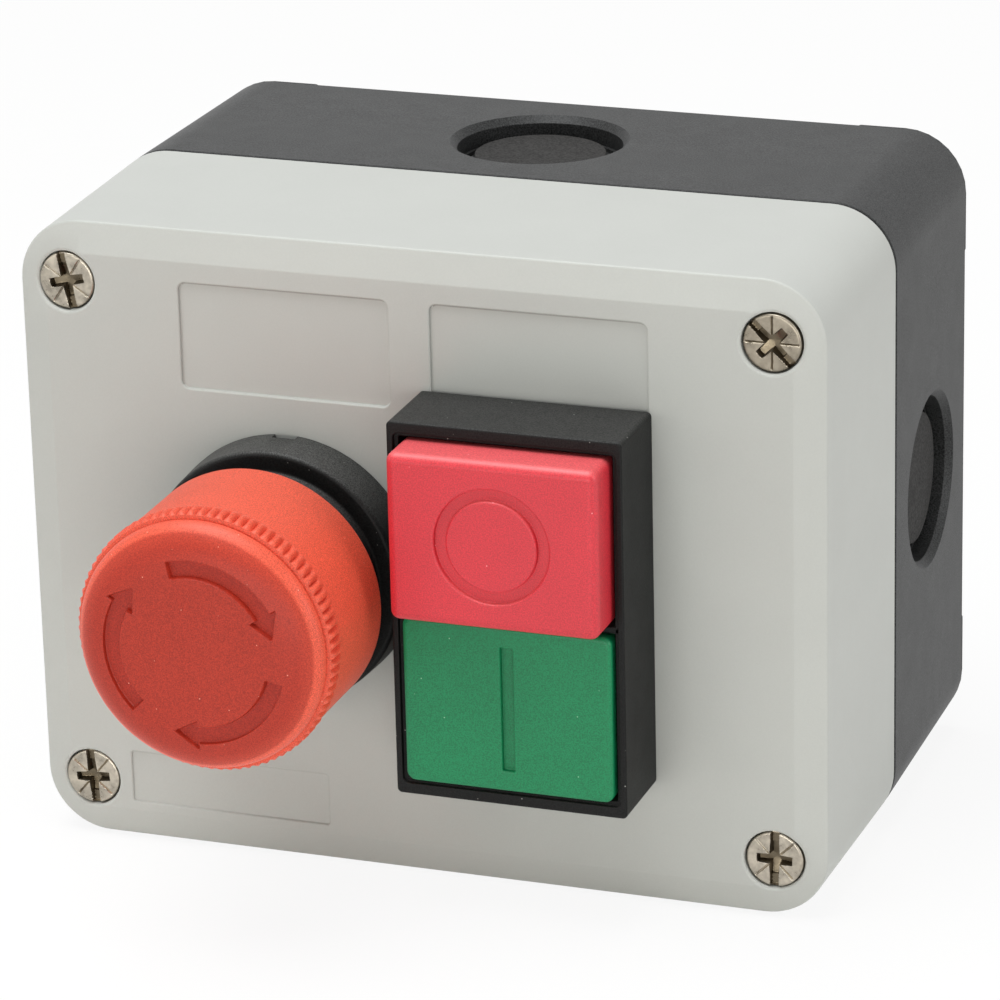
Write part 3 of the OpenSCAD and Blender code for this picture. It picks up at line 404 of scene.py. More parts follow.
def blend_colours(tree, factor, below, above, blend="MIX"):
    """Mixes two colours, each of them a constant or an output."""
    made = node(tree, "ShaderNodeMix", data_type="RGBA", blend_type=blend)
    colour_inputs, colour_output = (0, 6, 7), 2
    for index, value in zip(colour_inputs, (factor, below, above)):
        feed(tree, made.inputs[index], value)
    return made.outputs[colour_output]


def toned(tree, paint, second):
    """Mixes in a second colour, if there is one, by the piece's own `tone` attribute."""
    if second is None:
        return paint
    tone = node(tree, "ShaderNodeAttribute", attribute_name="tone")
    return blend_colours(tree, tone.outputs["Fac"], paint, (*second, 1))


def blank_material(name):
    """A new material, its node tree, its surface shader and the object's own coordinates."""
    material = bpy.data.materials.new(name)
    material.use_nodes = True
    tree = material.node_tree
    place = node(tree, "ShaderNodeTexCoord").outputs["Object"]
    return material, tree, tree.nodes["Principled BSDF"], place


def dress(tree, surface, paint, roughness, relief, depth):
    """Gives a surface its colour, its roughness and a relief that is `depth` mm deep."""
    bump = node(tree, "ShaderNodeBump", Strength=1.0, Distance=depth * MM, Height=relief)
    feed(tree, surface.inputs["Base Color"], paint)
    feed(tree, surface.inputs["Roughness"], roughness)
    feed(tree, surface.inputs["Normal"], bump.outputs["Normal"])


def moulded_plastic(name, colour, roughness, grain=0.2, pit=0.01, sand=0.1, mottle=0.05, sheen=0.4,
                    specks=0.0, speck_colour=(0.5, 0.5, 0.48), second=None):
    """Plastic with pits `pit` mm deep and `grain` mm apart, which are darker by the share `sand`.

    `mottle` is how much the colour drifts, `sheen` is how strongly the surface mirrors, `specks` is
    the share of cells that hold some dust, and `second` is the colour that the tone mixes in.
    """
    material, tree, surface, place = blank_material(name)
    cloud = noise(tree, place, CLOUD_SCALE, 3)
    paint = ramp(tree, cloud, *WIDE, [shade(colour, 1 - mottle), shade(colour, 1 + mottle)])
    paint = toned(tree, paint, second)
    fine = noise(tree, place, 1 / (grain * MM), 2, 0.6)
    pits = ramp(tree, fine, *NARROW, [shade((1, 1, 1), 1 - sand), shade((1, 1, 1), 1)])
    paint = blend_colours(tree, 1.0, paint, pits, "MULTIPLY")
    if specks:
        cells = node(tree, "ShaderNodeTexVoronoi", Vector=place, Scale=DUST_SCALE, Randomness=1.0)
        dot = spread(tree, cells.outputs["Distance"], SPECK_CORE, SPECK_EDGE, 1, 0)
        chance = node(tree, "ShaderNodeSeparateColor", Color=cells.outputs["Color"]).outputs[0]
        dusty = maths(tree, "MULTIPLY", dot, maths(tree, "LESS_THAN", chance, specks))
        paint = blend_colours(tree, dusty, paint, (*speck_colour, 1))
    patches = noise(tree, place, SHEEN_SCALE, 4, 0.6)
    roughness_map = spread(tree, patches, *WIDE, roughness * (1 - SHEEN_DRIFT),
                           min(1, roughness * (1 + SHEEN_DRIFT)))
    dress(tree, surface, paint, roughness_map, fine, pit)
    surface.inputs["Specular IOR Level"].default_value = sheen
    return material


# The cover's second colour is painted shade at the foot of the recesses' upper and left walls
cover_finish = moulded_plastic("pale_grey_moulding", (0.488, 0.495, 0.466), 0.46, grain=0.25, pit=0.006,
                               sand=0.025, mottle=0.012, second=(0.27, 0.26, 0.24))
base_finish = moulded_plastic("dark_grey_moulding", (0.040, 0.041, 0.041), 0.46, grain=0.2, pit=0.025,
                              sand=0.9, mottle=0.02, sheen=0.23, specks=0.03,
                              speck_colour=(0.12, 0.12, 0.12))
disc_finish = moulded_plastic("matt_dark_grey_moulding", (0.04, 0.0385, 0.037), 0.72, grain=0.3,
                              pit=0.03, sand=0.7, sheen=0.15, specks=0.03,
                              speck_colour=(0.1, 0.1, 0.1))
# The black's second colour is painted light on the faces that turn up
black_finish = moulded_plastic("black_moulding", (0.012, 0.012, 0.0117), 0.5, grain=0.17, pit=0.022,
                               sand=0.8, mottle=0.15, sheen=0.17, specks=0.12,
                               speck_colour=(0.30, 0.30, 0.28), second=(0.12, 0.12, 0.115))
# The head's second colour is painted shade on its face and on the arrows' floors
head_finish = moulded_plastic("orange_red_moulding", (0.90, 0.124, 0.066), 0.44, grain=0.15, pit=0.015,
                              sand=0.42, mottle=0.04, sheen=0.3, specks=0.12,
                              speck_colour=(0.85, 0.35, 0.26), second=(0.36, 0.006, 0.0))
# The stop button's second colour is painted light on its faces that turn up
stop_finish = moulded_plastic("pink_red_moulding", (0.72, 0.033, 0.050), 0.42, grain=0.18, pit=0.012,
                              sand=0.3, mottle=0.04, sheen=0.5, specks=0.06,
                              speck_colour=(0.9, 0.4, 0.42), second=(0.88, 0.13, 0.14))
# The green's second colour is painted shade on the floor of its sunk bar
start_finish = moulded_plastic("green_moulding", (0.0035, 0.25, 0.092), 0.42, grain=0.15, pit=0.012,
                               sand=0.4, mottle=0.05, specks=0.06, speck_colour=(0.25, 0.55, 0.35),
                               second=(0.003, 0.18, 0.065))
print("plastics:", [m.name for m in bpy.data.materials if m.name.endswith("moulding")])

# %% [markdown]
# The cover screws are nickel-plated and cold-headed, so their faces carry a faint lay of tiny dents
# and a warm tint. The springs and terminals inside are bright steel, and the contacts are copper.

# %% Metals, rubber and the plain inner plastics


def plated_metal(name, colour, roughness, dent=0.01, scale=700.0, tarnish=0.2, second=None):
    """Metal with a dented face: noise moves the normal, and a slower noise dulls the tint."""
    material, tree, surface, place = blank_material(name)
    cloud = noise(tree, place, scale, 4, 0.6)
    paint = ramp(tree, cloud, *NARROW, [shade(colour, 1 - tarnish), shade(colour, 1.0)])
    uneven = 0.3
    roughness_map = spread(tree, cloud, *WIDE, roughness * (1 - uneven), roughness * (1 + uneven))
    dress(tree, surface, toned(tree, paint, second), roughness_map,
          noise(tree, place, scale * 2, 2), dent)
    surface.inputs["Metallic"].default_value = 1.0
    return material


# The nickel's second colour is painted shade deep in the driver's recesses, and the duller tint of the
# upper right screw
nickel_finish = plated_metal("nickel_plate", (0.50, 0.45, 0.37), 0.32, dent=0.014, tarnish=0.4,
                             second=(0.14, 0.115, 0.08))
steel_finish = plated_metal("bright_steel", (0.60, 0.61, 0.62), 0.28, dent=0.004)
copper_finish = plated_metal("contact_copper", (0.75, 0.45, 0.27), 0.3, dent=0.004)
rubber_finish = moulded_plastic("seal_rubber", (0.018, 0.018, 0.018), 0.75, mottle=0.1)
natural_finish = moulded_plastic("undyed_plastic", (0.68, 0.64, 0.52), 0.45, sand=0.04, mottle=0.03)
red_finish = moulded_plastic("plunger_red", (0.6, 0.04, 0.03), 0.4)
green_finish = moulded_plastic("plunger_green", (0.03, 0.3, 0.1), 0.4)

# %% [markdown]
# ## Cover
#
# The cover is a tray of pale grey plastic. Its walls lean in by the mould's draft, a bevel runs round
# the panel, and the edge at the parting line is only slightly broken. One path goes from inside the
# rim over the wall to the bevel, and a second one from there to the panel. Both carry the outline all
# the way round.

# %% The cover's outer skin
wall, panel_thickness = 3.0, 2.8
corner_radius = 8.2
# An inset shrinks the corner radius by this share of itself
corner_shrink = 0.7
corner_steps, side_points = 16, 40
draft = np.array([0.2, 0.5])
bevel_width, bevel_depth = 3.9, 1.35
rim_edge, bevel_edge, panel_edge = 0.25, 0.4, 0.8
# The side's skin takes this much of the bevel. The front takes the rest and a border of the panel
strip_width, panel_border = 1.0, 1.6
panel_inset = bevel_width + panel_border


def cover_outline(inset, depth):
    """The box's outline less an inset, with walls that lean in towards the panel."""
    lean = draft * np.clip((cover_depth - depth) / (cover_depth - bevel_depth), 0, 1)
    width, height = np.array([box_width, box_height]) - 2 * (lean + inset)
    return rounded_rectangle(width, height, corner_radius - corner_shrink * inset, corner_steps,
                             side_points)


strip_depth = bevel_depth * (1 - strip_width / bevel_width)
side_path = rounded_path([(wall, cover_depth, 0), (0, cover_depth, rim_edge),
                          (0, bevel_depth, bevel_edge), (strip_width, strip_depth, 0)], 6)
front_path = rounded_path([(strip_width, strip_depth, 0), (bevel_width, 0, panel_edge),
                           (panel_inset, 0, 0)], 5)
side_rings = carry(cover_outline, side_path)
front_rings = carry(cover_outline, front_path)
print("cover rings:", side_rings.shape, front_rings.shape)

# %% [markdown]
# The screw wells cut into the bevel, so the front isn't flat where they are. Its depth at any point
# follows from how far the point lies inside the outline. That inset has no short formula, because the
# corner radius shrinks with it, so it is found by halving an interval until the point is on the
# outline with that inset.

# %% Depth of the front at any point


def front_depth(points):
    """Depth of the bevel and panel at points (x, z)."""
    half = np.array([box_width, box_height]) / 2 - draft
    low, high = np.zeros(len(points)), np.full(len(points), panel_inset)
    halvings = 24
    for _ in range(halvings):
        inset = (low + high) / 2
        radius = corner_radius - corner_shrink * inset
        past = np.abs(points) - (half - (inset + radius)[:, None])
        outside = np.linalg.norm(np.maximum(past, 0), axis=1) + np.minimum(past.max(1), 0) > radius
        low, high = np.where(outside, low, inset), np.where(outside, inset, high)
    return np.interp(inset, front_path[:, 0], front_path[:, 1])


bevel_middle = np.array([[(box_width - bevel_width) / 2, 0.0]])
print("depth at the bevel's middle:", front_depth(bevel_middle).round(3))

# %% [markdown]
# Three shallow recesses take name plates, and four wells hold the screw heads. Each one is its own
# short path: over a small lip, down the wall and onto the floor. The lips are what catches the light
# in the photograph, so they get a real radius.

# %% Recesses, wells and the panel
label_radius, low_label_radius = 1.0, 0.4
lip, lip_edge = 0.35, 0.22
recess_lean, recess_foot, recess_border = 0.03, 0.05, 0.3

# Each recess: middle x and z, width, height and depth. The lower one has nearly square corners
recesses = [(-16.8, 27.8, 27.6, 13.8, 0.45), (16.3, 27.8, 27.8, 13.8, 0.45),
            (-26.5, -32.6, 27.0, 7.0, 0.3)]

head_radius = 3.65
screw_low, screw_high = limits("cover_screws")
screw_places = CORNERS * (x_z(screw_high - screw_low) / 2 - head_radius)
screw_sink = screw_low[1] - panel_y
well_gap, well_edge, well_border, well_floor = 0.18, 0.4, 0.15, 0.2
barrel_radius, hole_gap, hole_edge = 11.0, 0.1, 0.1


def follow_front(rings, down):
    """Moves the upper rings of a pocket with the front's own depth, less so further down."""
    local = front_depth(x_z(rings[0]))
    rings[:, :, 1] += local * (1 - down / down.max())[:, None]
    return rings


def recess(x, z, width, height, depth):
    """A rounded pocket in the panel: its shells and the outline of its lip."""
    path = rounded_path([(-lip, 0, 0), (0, 0, lip_edge), (recess_lean, depth, recess_foot),
                         (recess_border, depth, 0)], 3, SHORT_HOLD)
    corner = label_radius if z > 0 else low_label_radius
    rings = carry(shrunk(width, height, corner, 8, 12), path, (x, z))
    rings = follow_front(rings, path[:, 1])
    return [skin(rings), lid(rings[-1])], x_z(rings[0])


def well(centre, radius, depth, edge, closed=True):
    """A round hole with a rounded lip: its skin and the outlines of its lip and its end."""
    path = [(radius + edge + well_border, 0, 0), (radius, 0, edge), (radius, depth, 0), (0, depth, 0)]
    path = rounded_path(path if closed else path[:3])
    rings = follow_front(turned(path, centre, count=72), path[:, 1])
    return skin(rings), x_z(rings[0]), x_z(rings[-1])


cover_shells = [skin(side_rings)]
front_holes = []
for values in recesses:
    shells, outline = recess(*values)
    cover_shells += shells
    front_holes.append(outline)
for centre in screw_places:
    shell, outline, _ = well(centre, head_radius + well_gap, panel_thickness - well_floor, well_edge)
    cover_shells.append(shell)
    front_holes.append(outline)
device_holes = []
for centre in (stop_axis, twin_axis):
    shell, outline, inner_end = well(centre, barrel_radius + hole_gap, panel_thickness, hole_edge,
                                     closed=False)
    cover_shells.append(shell)
    front_holes.append(outline)
    device_holes.append(inner_end)
print("holes in the front:", len(front_holes))

# %% [markdown]
# The front is triangulated once, over the rings of the bevel and the outlines of all holes. The rings
# stay whole except where they run into a hole.

# %% The front and the cover as one piece


def front_face(rings, holes):
    """Triangles over the rings' edges, apart from those inside the holes."""
    flat = x_z(rings)
    count = flat.shape[1]
    margin = 0.08
    kept = deepest_inside(flat.reshape(-1, 2), holes) < -margin
    kept[:count] = True
    number = np.cumsum(kept) - 1
    first, second = np.arange(kept.size), (np.arange(kept.size).reshape(flat.shape[:2]) + 1)
    second[:, -1] -= count
    second = second.ravel()
    both = kept[first] & kept[second]
    edges = np.stack([number[first[both]], number[second[both]]], 1).tolist()
    points = flat.reshape(-1, 2)[kept]
    for hole in holes:
        start = len(points)
        around = np.arange(len(hole))
        edges += np.stack([start + around, start + (around + 1) % len(hole)], 1).tolist()
        points = np.concatenate([points, hole])
    all_triangles = 0
    found, _, triangles, *_ = delaunay_2d_cdt([Vector(p) for p in points.tolist()], edges, [],
                                              all_triangles, SAME_POINT)
    found, triangles = np.array([p[:] for p in found]), np.array([t[:] for t in triangles])
    middle = found[triangles].mean(1)
    triangles = triangles[deepest_inside(middle, holes) < 0]
    return ring_at(found, front_depth(found)), triangles.tolist()


cover_shells.append(front_face(front_rings, front_holes))
inner_rings = carry(cover_outline, [(wall, cover_depth), (wall, panel_thickness)])
cover_shells.append(skin(inner_rings))
cover_shells.append(flat_face(panel_thickness, x_z(inner_rings[-1]), device_holes))


def recess_painted_shade(points, _):
    """Painted shade at the foot of a recess's walls: 1 under its upper edge, less by its left one."""
    line_width, corner_reach, deepest, slack = 0.25, 0.3, 0.6, 0.01
    lower_part, left_share, low_label_share = 0.4, 0.4, 0.3
    flat, down = x_z(points), points[:, 1] - panel_y
    near = np.zeros(len(points))
    for x, z, width, height, depth in recesses:
        inset = -(np.abs(flat - (x, z)) - np.array([width, height]) / 2).max(1)
        foot = (inset > -slack) * (inset < line_width)
        foot = foot * (down > lower_part * depth) * (down < deepest)
        upper = flat[:, 1] > z + height / 2 - corner_reach
        left = flat[:, 0] < x - width / 2 + corner_reach
        share = 1 if z > 0 else low_label_share
        near = np.maximum(near, share * foot * np.maximum(upper, left_share * left))
    return near


# The recesses get painted shade through the cover's tone
make_piece("cover_moulding", cover_shells, cover_finish, stands_for=["cover"],
           tone=recess_painted_shade)

# %% [markdown]
# ## Base
#
# The dark base carries the cable knock-outs. Its four walls are flat, so each one is a flat face with
# a round hole, and the corners are strips between them. Both meet the same two rings: one just behind
# the parting line and one just before the back edge.

# %% The base's walls
foot_height, floor_thickness = 0.4, 2.6
base_draft = np.array([0.35, 0.3])
back_depth = box_depth - foot_height
floor_depth = back_depth - floor_thickness
rebate_width, rebate_depth, rebate_edge = 0.7, 0.4, 0.08
parting_edge, back_edge, back_border = 0.22, 0.3, 2.5
inner_inset = 3.9
corner_points = corner_steps + 1
# The flat walls run between these two depths
front_line, back_line = cover_depth + 1.6, back_depth - 1.2


def base_outline(inset, depth):
    """The box's outline less an inset, with walls that lean in towards the back."""
    lean = base_draft * np.clip((depth - cover_depth) / (back_depth - cover_depth), 0, 1)
    width, height = np.array([box_width, box_height]) - 2 * (lean + inset)
    return rounded_rectangle(width, height, corner_radius - corner_shrink * inset, corner_steps)


parting_path = rounded_path([(inner_inset, cover_depth, 0), (rebate_width, cover_depth, rebate_edge),
                             (rebate_width, cover_depth + rebate_depth, 0),
                             (0, cover_depth + rebate_depth, parting_edge), (0, front_line, 0)])
back_path = rounded_path([(0, back_line, 0), (0, back_depth, back_edge),
                          (back_border, back_depth, 0)])
parting_rings = carry(base_outline, parting_path)
back_rings = carry(base_outline, back_path)
base_shells = [skin(parting_rings), skin(back_rings)]
for corner in range(4):
    columns = np.arange(corner_points) + corner * corner_points
    strip = np.stack([parting_rings[-1][columns], back_rings[0][columns]])
    base_shells.append(skin(strip, closed=False))
print("base strips:", len(base_shells) - 2)

# %% [markdown]
# A knock-out is a disc in a chamfered bore. Only the thin floor of the ring groove round it holds it,
# so that a blow with a screwdriver opens the wall for a cable gland. It is turned from one path, as
# the screw wells are, but laid on each of the four sides in turn.

# %% Walls with knock-outs
knock_radius, knock_well, knock_rim, knock_disc = 10.25, 10.75, 11.65, 8.55
disc_sink, knock_sink, knock_groove = 1.8, 3.0, 0.5
chamfer_depth, chamfer_edge, disc_edge, knock_border = 0.9, 0.1, 0.15, 0.4
knock_from_wall = 17.8
knock_depth = box_depth - knock_from_wall


def onto_wall(side, along, depth, down):
    """Points on side 0 top, 1 left, 2 bottom or 3 right: along the wall, at a depth, sunk by down."""
    upright = side % 2 == 1
    half = (box_width if upright else box_height) / 2
    lean = base_draft[0 if upright else 1] * (depth - cover_depth) / (back_depth - cover_depth)
    out = half - lean - down
    y = panel_y + depth
    return np.stack({0: (along, y, out), 1: (-out, y, along), 2: (-along, y, -out),
                     3: (out, y, -along)}[side], -1)


knock_path = rounded_path([(knock_rim + knock_border, 0, 0), (knock_rim, 0, chamfer_edge),
                           (knock_well, chamfer_depth, chamfer_edge), (knock_well, knock_sink, 0),
                           (knock_radius, knock_sink, 0),
                           (knock_radius, knock_sink + knock_groove, 0),
                           (knock_disc, knock_sink + knock_groove, 0),
                           (knock_disc, disc_sink, disc_edge), (0, disc_sink, 0)])
radius, down = knock_path[:, :1], knock_path[:, 1:]
angles = np.linspace(0, 2 * np.pi, 96, endpoint=False)
along, depth = radius * np.cos(angles), knock_depth + radius * np.sin(angles)
for side in range(4):
    ends = [(side + 1) * corner_points - 1, (side + 1) * corner_points % (4 * corner_points)]
    corners = np.concatenate([parting_rings[-1][ends], back_rings[0][ends[::-1]]])
    axis, sign = 2 * (side % 2), 1 if side < 2 else -1
    wall_outline = np.column_stack([sign * corners[:, axis], corners[:, 1] - panel_y])
    points, faces = fill(wall_outline, [np.stack([along[0], depth[0]], 1)])
    base_shells += [skin(onto_wall(side, along, depth, np.broadcast_to(down, along.shape))),
                    (onto_wall(side, points[:, 0], points[:, 1], np.zeros(len(points))), faces)]
print("shells of the base:", len(base_shells))

# %% [markdown]
# The back of the base stands on four corner feet and on a pad round each wall-fixing hole. They are
# closed solids of their own, set on the back face. The faces on the knock-outs' discs get a matt
# finish of their own.

# %% Back, inside, feet and pads
foot_size = np.array([14.7, 16.2])
foot_edge, foot_shrink, foot_border = 0.2, 0.02, 1
# Feet and pads start a little inside the back face
foot_root = back_depth - 0.1
fixing_places = CORNERS * (31.0, 26.0)
fixing_radius, pad_radius = 2.25, 5.0
inner_rings = carry(base_outline, [(inner_inset, cover_depth), (inner_inset, floor_depth)])
fixing_holes = [centre + circle(fixing_radius, 48) for centre in fixing_places]
base_shells += [skin(inner_rings), flat_face(floor_depth, x_z(inner_rings[-1]), fixing_holes),
                flat_face(back_depth, x_z(back_rings[-1]), fixing_holes)]
base_shells += [skin(turned([(fixing_radius, floor_depth), (fixing_radius, back_depth)], centre,
                            count=48)) for centre in fixing_places]
base_piece = make_piece("base_moulding", base_shells, base_finish, stands_for=["base"])


def on_disc(centres):
    """Whether face centres lie on a knock-out's disc: near its axis, and outside the inner walls."""
    x, y, z = np.abs(centres[:, 0]), centres[:, 1] - panel_y - knock_depth, np.abs(centres[:, 2])
    touch, outer_part = 0.05, wall + 1
    beside = (np.hypot(z, y) < knock_disc + touch) & (x > box_width / 2 - outer_part)
    above = (np.hypot(x, y) < knock_disc + touch) & (z > box_height / 2 - outer_part)
    return beside | above


polygons = base_piece.data.polygons
centres = np.empty((len(polygons), 3), np.float32)
polygons.foreach_get("center", centres.ravel())
discs = on_disc(centres / MM)
base_piece.data.materials.append(disc_finish)
polygons.foreach_set("material_index", discs.astype(np.int32))
print("faces on discs:", int(discs.sum()))


def foot_outline(inset, corner):
    """A foot's outline: square at three corners, and round at the box's own corner."""
    out = np.array([box_width, box_height]) / 2 - base_draft - inset
    inn = out - foot_size + 2 * inset
    big, small = corner_radius - inset, 0.6
    turn = [(inn[0], (out[1] + inn[1]) / 2, 0), (inn[0], out[1], small), (out[0], out[1], big),
            (out[0], inn[1], small), (inn[0], inn[1], small), (inn[0], (out[1] + inn[1]) / 2, 0)]
    return rounded_path(turn, 8, 0)[:-1] * corner


foot_path = rounded_path([(foot_shrink, foot_root, 0), (foot_shrink, box_depth, foot_edge),
                          (foot_border, box_depth, 0)], 3)
pad_path = rounded_path([(fixing_radius, foot_root, 0), (pad_radius, foot_root, 0),
                         (pad_radius, box_depth, foot_edge), (fixing_radius, box_depth, foot_edge),
                         (fixing_radius, foot_root, 0)], 3)
foot_shells = []
for corner in CORNERS:
    foot_shells += closed_solid(carry(lambda inset, _: foot_outline(inset, corner), foot_path))
foot_shells += [skin(turned(pad_path, centre, count=48)) for centre in fixing_places]
make_piece("base_feet", foot_shells, base_finish)

# %% [markdown]
# ## Cover screws
#
# The heads take a flat or a cross driver: one slot runs right across, a deeper tapered cross sits in
# the middle, and four fine ticks between its arms mark the cross's type. The head is a height field
# on a disc: the deepest of the features at each point gives how far the face is pushed in.

# %% Screw heads
head_height, rim_round, rim_height = 2.6, 0.35, 0.3
slot_half, slot_depth, slot_wall = 0.5, 0.75, 0.12
cross_half, cross_length, cross_depth, cross_wall = 0.55, 2.3, 1.5, 0.14
# Shares: an arm's half width at its root, its taper, its depth at the tip and what the root adds
arm_root, arm_taper, tip_share, root_share = 1.15, 0.25, 0.7, 0.3
tick_half, tick_depth, tick_start = 0.15, 0.22, 0.9
cut_end = 0.2
shank_radius, shank_end, shank_point = 2.0, screw_high[1] - panel_y, 0.6
# How far each slot is turned, in the order of CORNERS
screw_turns = np.radians([12, 45, 5, -1])


def ease(value):
    """0 below 0 and 1 above 1, with the smooth step 3 v^2 - 2 v^3 between."""
    value = np.clip(value, 0, 1)
    return value * value * (3 - 2 * value)


def head_cut(a, b):
    """Depth of the cuts at a point (a, b) of the head, with the slot along b."""
    near, far = np.minimum(np.abs(a), np.abs(b)), np.maximum(np.abs(a), np.abs(b))
    slot = slot_depth * ease((slot_half - np.abs(a)) / slot_wall + 0.5)
    taper = cross_half * (arm_root - arm_taper * far / cross_length)
    cross = (ease((taper - near) / cross_wall + 0.5) * ease((cross_length - far) / cut_end)
             * (tip_share + root_share * ease(1 - far / cross_length)) * cross_depth)
    along, across = (far + near) / math.sqrt(2), (far - near) / math.sqrt(2)
    tick = tick_depth * np.clip(1 - across / tick_half, 0, 1)
    tick *= ease((along - tick_start) / cut_end)
    tick *= ease((head_radius - cut_end - np.hypot(a, b)) / cut_end)
    return np.maximum.reduce([slot, cross, tick])


rim_start = head_radius - rim_round
radii = np.concatenate([np.linspace(0, rim_start, 54),
                        rim_start + rim_round * np.sin(np.linspace(0.15, np.pi / 2, 5))])
past_rim = np.clip((radii - rim_start) / rim_round, 0, 1)
rim_drop = rim_height * (1 - np.sqrt(1 - past_rim ** 2))
rim_fade = ease((head_radius + 0.02 - radii) / 0.05)[:, None]
angles = np.linspace(0, 2 * np.pi, 224, endpoint=False)
head_back = screw_sink + head_height
screw_shells = []
for centre, turn in zip(screw_places, screw_turns):
    rings = turned(np.stack([radii, screw_sink + rim_drop], 1), centre, angles)
    a, b = radii[:, None] * np.cos(angles - turn), radii[:, None] * np.sin(angles - turn)
    rings[:, :, 1] += head_cut(a, b) * rim_fade
    body = turned([(head_radius, head_back), (shank_radius, head_back),
                   (shank_radius, shank_end - shank_point),
                   (shank_radius - shank_point, shank_end), (0, shank_end)], centre, angles)
    screw_shells += [skin(rings), skin(np.concatenate([rings[-1:], body]))]


def cut_shade_and_dull_screw(points, _):
    """Painted shade in the driver's recesses, which grows with depth, and a duller upper right screw.
    """
    shallowest, fade, slack, dullness = 0.05, 0.6, 0.1, 0.5
    down = points[:, 1] - panel_y - screw_sink
    away = np.linalg.norm(x_z(points)[:, None] - screw_places, axis=2)
    in_cut = (away.min(1) < head_radius - cut_end) * (down < cross_depth + slack)
    upper_right = away.argmin(1) == 1
    return np.maximum(ease((down - shallowest) / fade) * in_cut, dullness * upper_right)


# The driver's recesses get painted shade through the screws' tone
make_piece("screw_heads", screw_shells, nickel_finish, stands_for=["cover_screws"],
           tone=cut_shade_and_dull_screw)

# %% [markdown]
# ## Stop head
#
# Behind the red head stand a round flange, a neck and a barrel in one black moulding. It is
# turned about the head's axis, apart from a small notch in the top of the flange. A notch in a turned
# piece is made by adding columns at its two sides and lowering the points between them.

# %% Flange, neck and barrel
flange_radius, flange_height, flange_taper = 16.8, 6.3, 0.2
neck_radius, neck_end = 14.0, 16.0
seal_radius, seal_sink = 14.1, 0.9
collar_bore = 8.5
barrel_end = limits("estop_collar")[1][1] - panel_y
notch_half, notch_depth, notch_length, notch_step = 1.45, 0.5, 1.3, 0.01
path_start = (barrel_radius, barrel_end - 4, 0)
collar_path = rounded_path([
    path_start, (barrel_radius, -seal_sink, 0), (seal_radius, -seal_sink, 0), (seal_radius, 0, 0),
    (flange_radius, 0, 0.1), (flange_radius, -notch_length, 0),
    (flange_radius, -notch_length - notch_step, 0),
    (flange_radius - flange_taper, -flange_height, 0.6), (neck_radius, -flange_height, 0.4),
    (neck_radius, -neck_end, 0.4), (collar_bore, -neck_end, 0.3), (collar_bore, barrel_end, 0.3),
    (barrel_radius, barrel_end, 0.4), path_start])
notch_angle = math.asin(notch_half / flange_radius)
even = np.linspace(0, 2 * np.pi, 144, endpoint=False)
even = even[np.abs(even - np.pi / 2) > notch_angle + 0.03]
notch_columns = np.pi / 2 + notch_angle * np.array([-1.03, -0.97, -0.5, 0, 0.5, 0.97, 1.03])
angles = np.sort(np.concatenate([even, notch_columns]))
collar_rings = turned(collar_path, stop_axis, angles)
inside_notch = np.abs(angles - np.pi / 2) < notch_angle
near_panel = collar_rings[:, 0, 1] > panel_y - notch_length - notch_step / 2
lowered = np.ix_(near_panel, inside_notch, [2])
notch_floor = stop_axis[1] + flange_radius - notch_depth
collar_rings[lowered] = np.minimum(collar_rings[lowered], notch_floor)


def upward_painted_light(share):
    """Painted light on surfaces that face up: it grows with the upward part of the normal."""
    least = 0.25
    return lambda _, normals: share * ease((normals[:, 2] - least) / (1 - least))


# The collar is lighter where it faces up: painted light
make_piece("stop_head_collar", [skin(collar_rings)], black_finish, stands_for=["estop_collar"],
           tone=upward_painted_light(0.85))

# %% [markdown]
# The red head is one surface of revolution with two things pressed into it. Short knurls stand just
# behind a fine groove, where fingers grip, and three arrows sunk in the face show which way to twist.
# The grid has eight columns for each knurl. An arrow is a flat polygon: the distance of each grid
# point from its edge says whether the point belongs to the sunken floor, to the wall or to the face.

# %% The arrows' outline
arrow_in, arrow_out, arrow_wing = 9.6, 11.7, 0.8
# In degrees: the first arrow's start, the sweep of its shaft and the length of its point
arrow_start, arrow_sweep, arrow_tip = 105, 74, 16


def polar(radius, degrees):
    """Points at a radius and an angle."""
    turn = np.radians(degrees)
    return np.stack(np.broadcast_arrays(radius * np.cos(turn), radius * np.sin(turn)), -1)


def arrow_outline(start):
    """One arrow: the outer arc, the three points of its head and the inner arc back."""
    end = start - arrow_sweep
    sweep = np.linspace(start, end, 13)
    head = [polar(arrow_out + arrow_wing, end), polar((arrow_in + arrow_out) / 2, end - arrow_tip),
            polar(arrow_in - arrow_wing, end)]
    return np.concatenate([polar(arrow_out, sweep), head, polar(arrow_in, sweep[::-1])])


arrows = [arrow_outline(arrow_start + turn) for turn in (0, 120, 240)]
print("points of an arrow:", len(arrows[0]))

# %% [markdown]
# The face is flat in the middle and falls away to the edge along a quarter of an ellipse. Rows of the
# grid are packed where the arrows are, and thin out elsewhere. Behind the skirt the head is hollow,
# with a boss in the middle that takes the stem.

# %% The red head
cap_radius, cap_back, cap_front = 16.3, 11.2, 32.1
dome_radius, dome_height, flat_radius = 15.85, 3.3, 10.0
knurl_count, knurl_height, knurl_valley, knurl_length = 84, 0.4, 0.2, 3.4
knurl_rise, knurl_full, grip_length = 0.12, 0.62, 4.2
groove, groove_sink, groove_lead, groove_lip = 0.3, 0.25, 0.12, 0.1
arrow_depth, wall_width = 0.75, 0.16
hollow_radius, hollow_middle, hollow_front, hollow_chamfer = 14.7, 20, 28.2, 1.5
boss_radius, boss_end, stem_radius, stem_seat = 7.0, 17.0, 4.06, 29.7
dense_from, dense_to = 7.9, 13.4


def dome_depth(radius):
    """Depth of the face at a radius: flat, then front + height * (1 - sqrt(1 - share^2))."""
    share = np.clip((radius - flat_radius) / (dome_radius - flat_radius), 0, 1)
    return -cap_front + dome_height * (1 - np.sqrt(1 - share ** 2))


